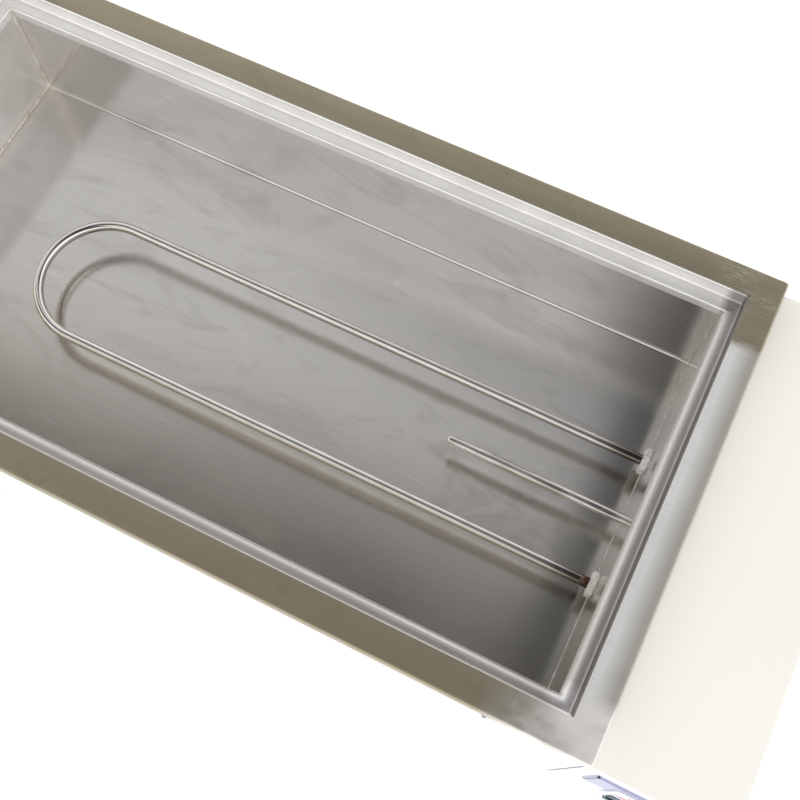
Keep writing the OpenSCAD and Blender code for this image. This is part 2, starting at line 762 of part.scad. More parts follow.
module fuse_holder() color("#242629")
    on_table() difference() {
        union() {
            at_back(fuse_z, 0) cylinder(d = 16, h = 2);
            at_back(fuse_z, -30) cylinder(d = 12, h = 31);
            at_back(fuse_z, -6) hexagon(16, 4.9);
        }
        at_back(fuse_z, -28) cylinder(d = 8, h = 40);
    }

module fuse_cap() color("#1c1d20")
    on_table() difference() {
        union() {
            at_back(fuse_z, 2.3) cylinder(d = 12, h = 5);
            at_back(fuse_z, -7) cylinder(d = 8 - 2 * slip, h = 10);
        }
        at_back(fuse_z, -8) cylinder(d = 5.2, h = 7);
        at_back(fuse_z, 6.3) translate([-5, -0.7, 0]) cube([10, 1.4, 2]);
    }

module fuse_link() color("#d8dcda")
    on_table() at_back(fuse_z, -24) cylinder(d = 5, h = 22.9);

// ---- drain ---------------------------------------------------------------------------------

// The drain's axis leaves the left-hand shell panel: +Z points out along it, and +X points up
module drain_axis() translate([-shell_x, drain_y, drain_z]) rotate([0, -90, 0]) children();
// The stem's axis, upwards through the ball
module stem_axis() drain_axis() translate([0, 0, ball_at]) rotate([0, 90, 0]) children();

module drain_pipe() color("#b5b3ae")
    on_table() drain_axis() translate([0, 0, in_x - shell_x]) tube(pipe_d, pipe_bore, shell_x - in_x + 14);

module valve_body() color("#c9a86a")
    on_table() difference() {
        union() {
            drain_axis() translate([0, 0, 4]) hexagon(27, 12);
            drain_axis() translate([0, 0, 14]) cylinder(d = 27, h = 36);
            stem_axis() cylinder(d = 14, h = 24);
        }
        drain_axis() translate([0, 0, 3]) cylinder(d = pipe_d + 2 * slip, h = 11);
        drain_axis() translate([0, 0, 13]) cylinder(d = pipe_bore, h = 12);
        drain_axis() translate([0, 0, 22]) cylinder(r = ball_r + 0.4, h = 30);
        stem_axis() cylinder(d = 8 + 2 * slip, h = 30);
    }

module valve_tail() color("#c9a86a")
    on_table() drain_axis() difference() {
        union() {
            translate([0, 0, 44]) cylinder(r = ball_r + 0.3, h = 10);
            translate([0, 0, 50 + eps]) hexagon(24, 8);
            translate([0, 0, 58]) cylinder(d = hose_d, h = tail_end - 58);
        }
        translate([0, 0, 43]) cylinder(d = 10, h = 60);
    }

module valve_seats() color("#f2f2ee")
    on_table() difference() {
        for (z = [22, 40]) drain_axis() translate([0, 0, z]) tube(2 * ball_r + 0.6, pipe_bore, 4);
        stem_axis() sphere(r = ball_r + 0.1);
    }

module drain_ball() color("#d5d6d8")
    on_table() stem_axis() difference() {
        sphere(r = ball_r);
        rotate([90, 0, 0]) cylinder(d = 12, h = 3 * ball_r, center = true);
        block([-6, -1.5, 7.5], [6, 1.5, 12]);
    }

module drain_stem() color("#c2c4c6")
    on_table() stem_axis() {
        block([-2.8, -1.3, 7.8], [2.8, 1.3, 10.9]);
        translate([0, 0, 10.9]) cylinder(d = 8, h = 13.1);
        translate([0, 0, 24]) cylinder(d = 6, h = stem_top - 24);
    }

// The lever lies across the pipe when the valve is shut
module drain_lever() color("#c6c8ca")
    on_table() stem_axis() difference() {
        along_x(12) folded([[-9, 25.3], [18, 25.3], [30, 34], [lever_l, 34]], 3, 2);
        cylinder(d = 6 + 2 * slip, h = 30);
    }

module lever_grip() color("#b3262b")
    on_table() stem_axis() translate([0, 56, 34]) difference() {
        along_y(40) rounded([15, 5.4], 2);
        translate([0, -22, 0]) block([-6.05, -2, -1.05], [6.05, lever_l - 34 + eps, 1.05]);
    }

module lever_nut() color("#cfd0d0")
    on_table() stem_axis() translate([0, 0, 26.4]) difference() {
        hexagon(10, 5);
        translate([0, 0, -over]) cylinder(d = 6 + 2 * slip, h = 8);
    }

// ---- nodes ---------------------------------------------------------------------------------

tank_trough();
tank_end_left();
tank_end_right();
rim_front();
rim_back();
rim_left();
rim_right();
heater_tube();
heater_bushes();
heater_gaskets();
heater_lock_nuts();
heater_insulators();
heater_terminals();
probe_well();
temperature_sensor();
shell_front();
shell_back();
shell_left();
partition();
base_pan();
support_rails();
hanger_brackets();
insulation_sides();
insulation_ends();
insulation_base();
control_cover();
control_front();
control_back();
fascia();
controller_bezel();
controller_housing();
controller_board();
display_lens();
key_set();
key_mode();
key_down();
key_up();
indicator_lamps();
switch_housing();
power_rocker();
relay();
terminal_block();
internal_wiring();
gland_body();
gland_nut();
gland_seal();
fuse_holder();
fuse_cap();
fuse_link();
drain_pipe();
valve_body();
valve_tail();
valve_seats();
drain_ball();
drain_stem();
drain_lever();
lever_grip();
lever_nut();
feet();
screws();
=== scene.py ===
import math

import bmesh
import bpy
from mathutils import Matrix, Vector


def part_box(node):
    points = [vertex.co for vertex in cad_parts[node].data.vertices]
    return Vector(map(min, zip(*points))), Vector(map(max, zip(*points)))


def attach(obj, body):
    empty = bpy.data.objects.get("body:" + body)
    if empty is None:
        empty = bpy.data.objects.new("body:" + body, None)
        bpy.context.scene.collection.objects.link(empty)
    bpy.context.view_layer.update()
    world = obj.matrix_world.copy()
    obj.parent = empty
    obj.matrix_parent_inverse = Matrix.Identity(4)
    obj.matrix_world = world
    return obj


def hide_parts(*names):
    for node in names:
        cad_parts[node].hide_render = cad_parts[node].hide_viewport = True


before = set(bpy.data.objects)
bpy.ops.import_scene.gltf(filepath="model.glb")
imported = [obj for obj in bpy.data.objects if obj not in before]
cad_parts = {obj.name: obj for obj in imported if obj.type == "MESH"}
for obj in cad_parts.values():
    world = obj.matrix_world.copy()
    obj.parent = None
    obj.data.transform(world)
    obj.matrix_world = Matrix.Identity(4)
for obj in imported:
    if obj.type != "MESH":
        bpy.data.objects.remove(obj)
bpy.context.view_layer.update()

# A paraffin wax bath: an open stainless tank with a U-shaped immersion heater, in a coated
# steel casing with a control box on its right-hand end. Lengths are in metres.

# ---- camera ----------------------------------------------------------------------------------
# A view from above the tank's right-hand front corner, looking down and turned to the left.

trough_low, trough_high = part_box("tank_trough")
SHEET = 0.001
tank_mid = (trough_low + trough_high) / 2
in_x = (trough_high.x - trough_low.x) / 2
in_y = (trough_high.y - trough_low.y) / 2 - SHEET
floor_z = trough_low.z + SHEET

camera = bpy.data.objects.new("camera", bpy.data.cameras.new("camera"))
camera.data.lens = 47.64
camera.data.sensor_width = 36
camera.data.clip_start = 0.01
camera.location = (tank_mid.x + 0.2369, tank_mid.y - 0.2369, 0.9104)
camera.rotation_euler = [math.radians(turn) for turn in (19.987, 0.272, 26.182)]
bpy.context.scene.collection.objects.link(camera)
bpy.context.scene.camera = camera

# ---- studio ----------------------------------------------------------------------------------
# A white sweep inside a bright tent. A large dimmer panel hangs over the back and left of the
# tank, and past its straight edges the tent is open and dark, so the steel shows soft bands.


def srgb(code):
    """An sRGB hex colour as the linear colour that a node takes."""
    parts = [int(code[i:i + 2], 16) / 255 for i in (1, 3, 5)]
    return (*[c / 12.92 if c <= 0.04045 else ((c + 0.055) / 1.055) ** 2.4 for c in parts], 1)


def node(tree, kind, *inputs, out=0, **settings):
    """Adds a node and gives one of its outputs, by number or name, or all of them for None.

    Inputs fill its sockets in order, and a capitalised setting is a socket by name. A socket
    takes a constant, a hex colour, or another node's output to link to it.
    """
    made = tree.nodes.new(kind if hasattr(bpy.types, kind) else "ShaderNode" + kind)
    for name in filter(str.islower, settings):
        setattr(made, name, settings[name])
    sockets = [socket for socket in made.inputs if socket.enabled]
    named = [(made.inputs[name.replace("_", " ")], value)
             for name, value in settings.items() if not name.islower()]
    for socket, value in [*zip(sockets, inputs), *named]:
        if isinstance(value, bpy.types.NodeSocket):
            tree.links.new(value, socket)
        elif isinstance(value, str) and value.startswith("#"):
            socket.default_value = srgb(value)
        else:
            socket.default_value = value
    if out is None or isinstance(out, str):
        return made.outputs[out] if out else made.outputs
    return [socket for socket in made.outputs if socket.enabled][out]


world = bpy.data.worlds.new("studio tent")
bpy.context.scene.world = world
world.use_nodes = True
tree = world.node_tree
ray = node(tree, "TexCoord", out="Generated")
apart = node(tree, "SeparateXYZ", ray, out=None)
height = node(tree, "Math", apart["Z"], 0.04, operation="MAXIMUM")
# how far a ray leans to the right and to the back, as slopes from straight up
lean_x = node(tree, "Math", apart["X"], height, operation="DIVIDE")
lean_y = node(tree, "Math", apart["Y"], height, operation="DIVIDE")
front_edge = node(tree, "MapRange", lean_y, 0.166, 0.18)
right_edge = node(tree, "MapRange", lean_x, 0.046, 0.028)
panel = node(tree, "Math", front_edge, right_edge, operation="MULTIPLY")
# the panel is dimmer towards its front right-hand corner, and brighter at its far left
from_x = node(tree, "MapRange", lean_x, -0.15, -0.6, To_Max=1.2)
from_y = node(tree, "MapRange", lean_y, 0.15, 0.32, To_Max=1.2)
far = node(tree, "VectorMath", node(tree, "CombineXYZ", from_x, from_y), operation="LENGTH")
glow = node(tree, "MapRange", far, 0.0, 1.25, 0.175, 0.72, interpolation_type="SMOOTHSTEP")
back_right = node(tree, "Math", node(tree, "MapRange", lean_y, 0.31, 0.42),
                  node(tree, "MapRange", lean_x, -0.4, 0.05, 0.1, 0.7), operation="MULTIPLY")
kept = node(tree, "Math", 1.0, back_right, operation="SUBTRACT")
glow = node(tree, "Math", glow, kept, operation="MULTIPLY")
glow = node(tree, "Math", panel, glow, operation="MULTIPLY")
# the tent's bright walls: in front and to the left, far to the right, and low all round
open_left = node(tree, "MapRange", lean_x, 0.07, -0.05)
front = node(tree, "MapRange", lean_y, -0.22, -0.4, To_Max=1.0, interpolation_type="SMOOTHSTEP")
fading = node(tree, "MapRange", lean_y, -0.46, -0.56, 1.0, 0.74)
front = node(tree, "Math", front, fading, operation="MULTIPLY")
front = node(tree, "Math", front, open_left, operation="MULTIPLY")
right = node(tree, "MapRange", lean_x, 0.62, 0.71, To_Max=1.25, interpolation_type="SMOOTHSTEP")
beside = node(tree, "MapRange", lean_x, 0.4, 0.55, To_Max=0.3)
level = node(tree, "VectorMath", node(tree, "CombineXYZ", lean_x, lean_y), operation="LENGTH")
low = node(tree, "MapRange", level, 0.8, 1.6, 0.07, 1.3, interpolation_type="SMOOTHSTEP")
tent = glow
for wall in (front, right, beside, low):
    tent = node(tree, "Math", tent, wall, operation="MAXIMUM")
tree.links.new(tent, tree.nodes["Background"].inputs["Color"])
tree.nodes["Background"].inputs["Strength"].default_value = 1.0

bpy.context.scene.view_settings.view_transform = "Standard"


def softbox(name, place, aim, size, power, tint):
    lamp = bpy.data.lights.new(name, "AREA")
    lamp.shape = "RECTANGLE"
    lamp.size, lamp.size_y = size
    lamp.energy = power
    lamp.color = srgb(tint)[:3]
    rig = bpy.data.objects.new(name, lamp)
    rig.location = place
    rig.rotation_euler = (Vector(aim) - Vector(place)).to_track_quat("-Z", "Y").to_euler()
    rig.visible_camera = False
    rig.visible_glossy = False
    bpy.context.scene.collection.objects.link(rig)


softbox("top_softbox", (0.5, -0.3, 2.2), (0.1, 0, 0.2), (1.8, 1.8), 17.4, "#ffffff")
softbox("front_fill", (0.5, -2.2, 1.0), (0, 0, 0.1), (1.6, 0.8), 4.5, "#f6f8ff")

sweep = bpy.data.meshes.new("sweep")
sweep.from_pydata([(-6, -6, 0), (6, -6, 0), (6, 6, 0), (-6, 6, 0)], [], [(0, 1, 2, 3)])
sweep_object = bpy.data.objects.new("sweep", sweep)
bpy.context.scene.collection.objects.link(sweep_object)


def finish(name, **constants):
    """A new material and its node tree, with constants such as Coat_Weight on its shader."""
    material = bpy.data.materials.new(name)
    material.use_nodes = True
    shader = material.node_tree.nodes["Principled BSDF"]
    for socket, value in constants.items():
        shader.inputs[socket.replace("_", " ")].default_value = value
    return material, material.node_tree, shader


def feed(shader, **outputs):
    """Links nodes' outputs to the shader's sockets."""
    for socket, output in outputs.items():
        shader.id_data.links.new(output, shader.inputs[socket.replace("_", " ")])


def grained(name, shade, base, scale, detail, gloss=None, relief=None, warp=0.0, **constants):
    """A finish whose colour follows one fine noise, and where they are given its gloss
    (lowest and highest roughness) and its relief (strength and depth) do too."""
    material, tree, shader = finish(name, **constants)
    place = node(tree, "TexCoord", out="Object")
    grain = node(tree, "TexNoise", place, Scale=scale, Detail=detail, Distortion=warp)
    feed(shader, Base_Color=node(tree, "Mix", grain, shade, base, data_type="RGBA"))
    if gloss:
        feed(shader, Roughness=node(tree, "MapRange", grain, To_Min=gloss[0], To_Max=gloss[1]))
    if relief:
        bump = node(tree, "Bump", Height=grain, Strength=relief[0], Distance=relief[1])
        feed(shader, Normal=bump)
    return material


# Matt white paper: no gloss, so the bath stands on an even ground
paper = grained("matt white paper", "#f7f7f7", "#ffffff", 900.0, 2.0, Roughness=0.9,
                Specular_IOR_Level=0.2, Emission_Color=srgb("#ffffff"), Emission_Strength=0.3)
sweep.materials.append(paper)

# ---- tank ------------------------------------------------------------------------------------
# One sheet of 1 mm stainless steel folded into a trough, with an end plate welded to each end.
# The sheet keeps its rolled 2B finish, with scratches and smears of old wax.

# 2B stainless sheet: cold rolled, a soft mirror with a fine grain along the sheet
steel, tree, shader = finish("2B rolled stainless sheet", Metallic=1.0, Anisotropic=0.8)
place = node(tree, "TexCoord", out="Object")
centred = node(tree, "Mapping", place, Location=(-tank_mid.x, -tank_mid.y, -floor_z))
apart = node(tree, "SeparateXYZ", centred, out=None)
along = node(tree, "Mapping", centred, Scale=(5, 700, 700))
grain = node(tree, "TexNoise", along, Scale=1.0, Detail=4.0)
clouds = node(tree, "TexNoise", centred, Scale=7.0, Detail=5.0, Roughness=0.62, Distortion=0.6)
smear = node(tree, "Mapping", centred, Scale=(9, 26, 20))
smears = node(tree, "TexNoise", smear, Scale=1.0, Detail=6.0, Roughness=0.68, Distortion=1.4)
smear_edge = node(tree, "MapRange", smears, 0.5, 0.66)
# scratches: the thin borders of long stretched cells, kept only where a second noise allows
scratches = None
for turn, stretch in ((0.5, 60.0), (-0.9, 45.0), (2.1, 75.0)):
    turned = node(tree, "Mapping", centred, Rotation=(0, 0, turn), Scale=(9, stretch * 3, 30))
    bent = node(tree, "TexNoise", turned, Scale=0.4, Detail=1.0, out="Color")
    swayed = node(tree, "VectorMath", turned, bent, operation="ADD")
    cells = node(tree, "TexVoronoi", swayed, Scale=1.0, feature="DISTANCE_TO_EDGE")
    line = node(tree, "MapRange", cells, 0.0, 0.035, 1.0, 0.0)
    patch = node(tree, "TexNoise", turned, Scale=0.5, Detail=3.0)
    kept = node(tree, "MapRange", patch, 0.6, 0.7)
    mark = node(tree, "Math", line, kept, operation="MULTIPLY")
    if scratches:
        scratches = node(tree, "Math", scratches, mark, operation="MAXIMUM")
    else:
        scratches = mark
tone = node(tree, "Mix", clouds, "#dbd8d5", "#e6e3e0", data_type="RGBA")
tone = node(tree, "Mix", smear_edge, tone, "#d7d4d0", data_type="RGBA")
# a warmer, slightly darker tone towards the front
to_front = node(tree, "MapRange", apart["Y"], 0.02, -0.12, To_Max=0.8)
tone = node(tree, "Mix", to_front, tone, "#dfd9cd", data_type="RGBA")
# bands beside the end welds, ground satin, with a straw tint along the left-hand floor weld
side_x = node(tree, "Math", apart["X"], operation="ABSOLUTE")
side_y = node(tree, "Math", apart["Y"], operation="ABSOLUTE")
off_end = node(tree, "Math", in_x, side_x, operation="SUBTRACT")
off_wall = node(tree, "Math", in_y, side_y, operation="SUBTRACT")
off_fold = node(tree, "Math", off_wall, apart["Z"], operation="MINIMUM")
off_weld = node(tree, "Math", off_end, off_fold, operation="MAXIMUM")
ragged = node(tree, "Math", clouds, 0.004, operation="MULTIPLY")
off_weld = node(tree, "Math", off_weld, ragged, operation="ADD")
ground = node(tree, "MapRange", off_weld, 0.0135, 0.0075, interpolation_type="SMOOTHSTEP")
left_end = node(tree, "Math", apart["X"], 0.0, operation="LESS_THAN")
ground_tone = node(tree, "Mix", left_end, "#d3d1cb", "#e8e5e0", data_type="RGBA")
tone = node(tree, "Mix", ground, tone, ground_tone, data_type="RGBA")
warm = node(tree, "MapRange", off_weld, 0.006, 0.002, 0.0, 0.35, interpolation_type="SMOOTHSTEP")
at_floor = node(tree, "Math", apart["Z"], 0.02, operation="LESS_THAN")
here = node(tree, "Math", left_end, at_floor, operation="MULTIPLY")
warm = node(tree, "Math", warm, here, operation="MULTIPLY")
tone = node(tree, "Mix", warm, tone, "#b8a37c", data_type="RGBA")
tone = node(tree, "Mix", scratches, tone, "#ebe9e6", data_type="RGBA")
feed(shader, Base_Color=tone)
dull = node(tree, "MapRange", clouds, 0.3, 0.7, 0.14, 0.18)
haze = node(tree, "MapRange", smear_edge, To_Min=0.0, To_Max=0.03)
dull = node(tree, "Math", dull, haze, operation="ADD")
at_end = node(tree, "MapRange", left_end, To_Min=0.17, To_Max=0.26)
hand_ground = node(tree, "Math", ground, at_end, operation="MULTIPLY")
dull = node(tree, "Math", dull, hand_ground, operation="MAXIMUM")
feed(shader, Roughness=dull)
rolled = node(tree, "Bump", Height=grain, Strength=0.05, Distance=0.0002)
wavy = node(tree, "TexNoise", centred, Scale=5.0, Detail=1.0)
rolled = node(tree, "Bump", Height=wavy, Strength=0.2, Distance=0.002, Normal=rolled)
feed(shader, Normal=rolled)
# the rolls ran along the sheet, so it blurs what it mirrors across that grain
facing = node(tree, "TexCoord", out="Normal")
across = node(tree, "VectorMath", facing, (1.0, 0.05, 0.0), operation="CROSS_PRODUCT")
feed(shader, Tangent=across)
# the left-hand end plate was scoured, so it is paler than a clean mirror
on_plate = node(tree, "Math", off_end, 0.0004, operation="LESS_THAN")
scoured = node(tree, "Math", on_plate, left_end, operation="MULTIPLY")
bare = node(tree, "MapRange", scoured, To_Min=1.0, To_Max=0.82)
feed(shader, Metallic=bare)


def wear(material, *names):
    """Gives CAD nodes a material, in the slots of their objects."""
    for name in names:
        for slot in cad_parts[name].material_slots:
            slot.material = material


wear(steel, "tank_trough", "tank_end_left", "tank_end_right")

# ---- tank welds ------------------------------------------------------------------------------
# The end plates are welded to the trough with a bead of overlapping ripples: heavy on the
# left, thin on the right. Each bead runs down one corner, across the floor and up the other.


def link(obj):
    bpy.context.scene.collection.objects.link(obj)
    return obj


def mesh_object(name, points, edges=(), faces=(), material=None):
    mesh = bpy.data.meshes.new(name)
    mesh.from_pydata([tuple(p) for p in points], edges, faces)
    if material:
        mesh.materials.append(material)
    return link(bpy.data.objects.new(name, mesh))


def grow(obj, tree, **inputs):
    """Runs a Geometry Nodes tree on an object, and leaves the result as its plain mesh."""
    modifier = obj.modifiers.new("grow", "NODES")
    modifier.node_group = tree
    for socket in tree.interface.items_tree:
        if socket.in_out == "INPUT" and socket.name in inputs:
            modifier[socket.identifier] = inputs[socket.name]
    graph = bpy.context.evaluated_depsgraph_get()
    mesh = bpy.data.meshes.new_from_object(obj.evaluated_get(graph))
    obj.modifiers.clear()
    obj.data = mesh
    return obj


def new_tree(name, **sizes):
    """A Geometry Nodes tree with a geometry input, and a named number input for each size."""
    tree = bpy.data.node_groups.new(name, "GeometryNodeTree")
    tree.interface.new_socket("Geometry", in_out="INPUT", socket_type="NodeSocketGeometry")
    for size, value in sizes.items():
        socket = tree.interface.new_socket(size, in_out="INPUT", socket_type="NodeSocketFloat")
        socket.default_value = value
    tree.interface.new_socket("Geometry", in_out="OUTPUT", socket_type="NodeSocketGeometry")
    return (tree, node(tree, "NodeGroupInput", out=None))


# Weld metal: stainless filler, brushed only roughly, straw and blue-brown from the heat
weld_metal, tree, shader = finish("stainless weld bead", Metallic=1.0)
place = node(tree, "TexCoord", out="Object")
heat = node(tree, "TexNoise", place, Scale=160.0, Detail=4.0)
heat_step = node(tree, "MapRange", heat, 0.42, 0.62)
tone = node(tree, "Mix", heat_step, "#faf8f4", "#ddd5c9", data_type="RGBA")
feed(shader, Base_Color=tone)
dull = node(tree, "MapRange", heat, To_Min=0.22, To_Max=0.5)
feed(shader, Roughness=dull)

beads, sizes = new_tree("weld bead", Pitch=0.0015, Width=0.0015, Height=0.0008)
curve = node(beads, "GeometryNodeMeshToCurve", sizes["Geometry"])
spots = node(beads, "GeometryNodeCurveToPoints", curve, Length=sizes["Pitch"], mode="LENGTH",
             out=None)
ripple = node(beads, "GeometryNodeMeshIcoSphere", Radius=1.0, Subdivisions=2)
ripple = node(beads, "GeometryNodeSetShadeSmooth", ripple)
spread = node(beads, "FunctionNodeRandomValue", 0.72, 1.18, Seed=4, data_type="FLOAT")
size = node(beads, "CombineXYZ", sizes["Height"], sizes["Width"], sizes["Pitch"])
size = node(beads, "VectorMath", size, Scale=spread, operation="SCALE")
placed = node(beads, "GeometryNodeInstanceOnPoints", Points=spots["Points"], Instance=ripple,
              Rotation=spots["Rotation"], Scale=size)
wobble = node(beads, "FunctionNodeRandomValue", (-0.0003, -0.0003, -0.0003),
              (0.0003, 0.0003, 0.0003), Seed=9, data_type="FLOAT_VECTOR")
moved = node(beads, "GeometryNodeTranslateInstances", placed, Translation=wobble)
real = node(beads, "GeometryNodeRealizeInstances", moved)
coated = node(beads, "GeometryNodeSetMaterial", real, Material=weld_metal)
node(beads, "NodeGroupOutput", coated, out=None)

ledge_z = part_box("rim_front")[1].z - 0.0124
fold = 0.0021
for name, end, pitch, width, height in (
        ("left_end_weld", -1, 0.0015, 0.0019, 0.0009),
        ("right_end_weld", 1, 0.0010, 0.0006, 0.0003)):
    x = tank_mid.x + end * (in_x - 0.0002)
    path = []
    for y_side in (-1, 1):
        leg = [(x, tank_mid.y + y_side * in_y, ledge_z - 0.002),
               (x, tank_mid.y + y_side * in_y, floor_z + fold)]
        for step in range(1, 5):
            angle = math.radians(90 * step / 4)
            leg.append((x, tank_mid.y + y_side * (in_y - fold * (1 - math.cos(angle))),
                        floor_z + fold * (1 - math.sin(angle))))
        path += leg if y_side < 0 else reversed(leg)
    bead = mesh_object(name, path, edges=[(i, i + 1) for i in range(len(path) - 1)])
    grow(bead, beads, Pitch=pitch, Width=width, Height=height)
    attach(bead, "bath")

# ---- rim -------------------------------------------------------------------------------------
# Four folded strips of stainless, mitred, welded and ground flush: a lip welded inside the
# tank, a ledge for the lid, a rebate wall, a flat flange and a skirt over the casing.

rim_low, rim_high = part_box("rim_front")
rim_z = rim_high.z
skirt_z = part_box("rim_back")[1].z - 0.015
reach = tank_mid.y - in_y - rim_low.y
ledge = 0.0105
drop = 0.0124


def strip(soft):
    """The strip's centre line, outwards from the tank's wall and up, with each fold's radius."""
    return [(SHEET / 2, rim_z - drop - 0.008, 0), (SHEET / 2, rim_z - drop - SHEET / 2, soft),
            (ledge + SHEET / 2, rim_z - drop - SHEET / 2, 0.0022),
            (ledge + SHEET / 2, rim_z - SHEET / 2, 0.0012),
            (reach - SHEET / 2, rim_z - SHEET / 2, 0.0012), (reach - SHEET / 2, skirt_z, 0)]


def folded(path, thickness, steps=6):
    """The outline of a folded sheet: one side of its centre line, then back along the other."""
    sides = ([], [])
    for i, (u, z, radius) in enumerate(path):
        here = Vector((u, z))
        before = (here - Vector(path[i - 1][:2])).normalized() if i else None
        after = (Vector(path[i + 1][:2]) - here).normalized() if i < len(path) - 1 else None
        if before is None or after is None:
            run = after or before
            across = Vector((-run.y, run.x)) * thickness / 2
            sides[0].append(here + across)
            sides[1].append(here - across)
            continue
        turn = math.copysign(1, before.x * after.y - before.y * after.x)
        angle = before.angle(after)
        centre = here - before * radius * math.tan(angle / 2)
        centre += Vector((-before.y, before.x)) * turn * radius
        for k in range(steps + 1):
            spoke = Matrix.Rotation(turn * angle * k / steps, 2) @ Vector((before.y, -before.x)) * turn
            sides[0].append(centre + spoke * (radius - turn * thickness / 2))
            sides[1].append(centre + spoke * (radius + turn * thickness / 2))
    return sides[0] + sides[1][::-1]


def ring_faces(count, rings, closed=False):
    """Faces from each ring of points to the next and, if closed, from the last to the first."""
    faces = []
    for i in range(rings if closed else rings - 1):
        j = (i + 1) % rings
        for k in range(count):
            n = (k + 1) % count
            faces.append((i * count + k, i * count + n, j * count + n, j * count + k))
    return faces


def tidy_normals(mesh):
    """Merges doubles and turns every face outwards."""
    shape = bmesh.new()
    shape.from_mesh(mesh)
    bmesh.ops.remove_doubles(shape, verts=shape.verts, dist=1e-6)
    bmesh.ops.recalc_face_normals(shape, faces=shape.faces)
    shape.to_mesh(mesh)
    shape.free()


def smooth(obj, degrees=40):
    """Smooth shading, with the edges sharper than an angle kept sharp."""
    mesh = obj.data
    shape = bmesh.new()
    shape.from_mesh(mesh)
    for face in shape.faces:
        face.smooth = True
    for edge in shape.edges:
        if len(edge.link_faces) == 2 and edge.calc_face_angle(0) > math.radians(degrees):
            edge.smooth = False
    shape.to_mesh(mesh)
    shape.free()
    return obj


# Rim stainless: the long sides carry an olive-brown mill film, the ends are brushed across
# their width and bright, and the corners are ground in swirls where the welds were cut back
rim_steel, tree, shader = finish("brushed and ground stainless", Metallic=1.0)
place = node(tree, "TexCoord", out="Object")
centred = node(tree, "Mapping", place, Location=(-tank_mid.x, -tank_mid.y, -rim_z))
apart = node(tree, "SeparateXYZ", centred, out=None)
side_x = node(tree, "Math", apart["X"], operation="ABSOLUTE")
side_y = node(tree, "Math", apart["Y"], operation="ABSOLUTE")
out_x = node(tree, "Math", side_x, in_x, operation="SUBTRACT")
out_y = node(tree, "Math", side_y, in_y, operation="SUBTRACT")
out = node(tree, "Math", out_x, out_y, operation="MAXIMUM")
brushing = node(tree, "Mapping", centred, Scale=(10, 620, 200))
brush = node(tree, "TexNoise", brushing, Scale=1.0, Detail=3.0)
clouds = node(tree, "TexNoise", centred, Scale=16.0, Detail=5.0, Roughness=0.65, Distortion=0.8)
streak = node(tree, "Mapping", centred, Scale=(7, 60, 60))
streaks = node(tree, "TexNoise", streak, Scale=1.0, Detail=4.0, Distortion=0.5)
film = node(tree, "Mix", streaks, "#a1977f", "#b8af9c", data_type="RGBA")
film = node(tree, "Mix", node(tree, "MapRange", clouds, 0.5, 0.7), film, "#a19d83",
            data_type="RGBA")
bright = node(tree, "Mix", brush, "#e6e4e0", "#ffffff", data_type="RGBA")
# a darker band along the outer edge of the brushed ends: painted shade where the sheet curves down
# into the fold
outer_edge_shade = node(tree, "MapRange", out, 0.017, 0.029)
bright = node(tree, "Mix", outer_edge_shade, bright, "#bdb9b2", data_type="RGBA")
# the bright brushing stops short of the corners, with a ragged edge
ragged = node(tree, "Math", clouds, 0.03, operation="MULTIPLY")
from_mid = node(tree, "Math", apart["Y"], ragged, operation="ADD")
on_end = node(tree, "MapRange", from_mid, 0.128, 0.134, 1.0, 0.0)
past_wall = node(tree, "MapRange", out_x, -0.02, 0.008)
on_end = node(tree, "Math", on_end, past_wall, operation="MULTIPLY")
tone = node(tree, "Mix", on_end, film, bright, data_type="RGBA")
# swirls from the grinding disc at the corners
corner_x = node(tree, "MapRange", out_x, -0.035, 0.0)
corner_y = node(tree, "MapRange", out_y, -0.035, 0.0)
corner = node(tree, "Math", corner_x, corner_y, operation="MULTIPLY")
swirling = node(tree, "Mapping", centred, Rotation=(0, 0, 1.1), Scale=(110, 900, 200))
swirl = node(tree, "TexNoise", swirling, Scale=1.0, Detail=4.0, Distortion=1.2)
worked = node(tree, "MapRange", clouds, 0.47, 0.6)
swirl = node(tree, "MapRange", swirl, 0.5, 0.7, To_Max=0.9)
swirl = node(tree, "Math", swirl, worked, operation="MULTIPLY")
ground = node(tree, "Math", swirl, corner, operation="MULTIPLY")
tone = node(tree, "Mix", ground, tone, "#d6d2c8", data_type="RGBA")
# the front right-hand corner is ground bright, in cloudy patches
near_x = node(tree, "MapRange", apart["X"], in_x - 0.045, in_x - 0.01)
near_y = node(tree, "MapRange", apart["Y"], -in_y + 0.008, -in_y - 0.004)
front_corner = node(tree, "Math", near_x, near_y, operation="MULTIPLY")
patchy = node(tree, "MapRange", clouds, 0.36, 0.56, 0.35, 1.0)
front_corner = node(tree, "Math", front_corner, patchy, operation="MULTIPLY")
tone = node(tree, "Mix", front_corner, tone, "#f6f2ee", data_type="RGBA")
# the ledge and its wall are pale; along the front and right, where they are rolled over, they are
# duller and painted darker, a painted shade that dims their highlight
inner = node(tree, "Math", out, ledge + 0.0012, operation="LESS_THAN")
to_right = node(tree, "Math", apart["X"], in_x, operation="SUBTRACT")
to_front = node(tree, "Math", -in_y, apart["Y"], operation="SUBTRACT")
rolled = node(tree, "Math", to_right, to_front, operation="MAXIMUM")
rolled = node(tree, "MapRange", rolled, -0.004, 0.002)
pale = node(tree, "Mix", rolled, "#f4f2f0", "#d3cdca", data_type="RGBA")
pale = node(tree, "Mix", node(tree, "MapRange", clouds, 0.35, 0.65, To_Max=0.25), pale, "#c9c5c2",
            data_type="RGBA")
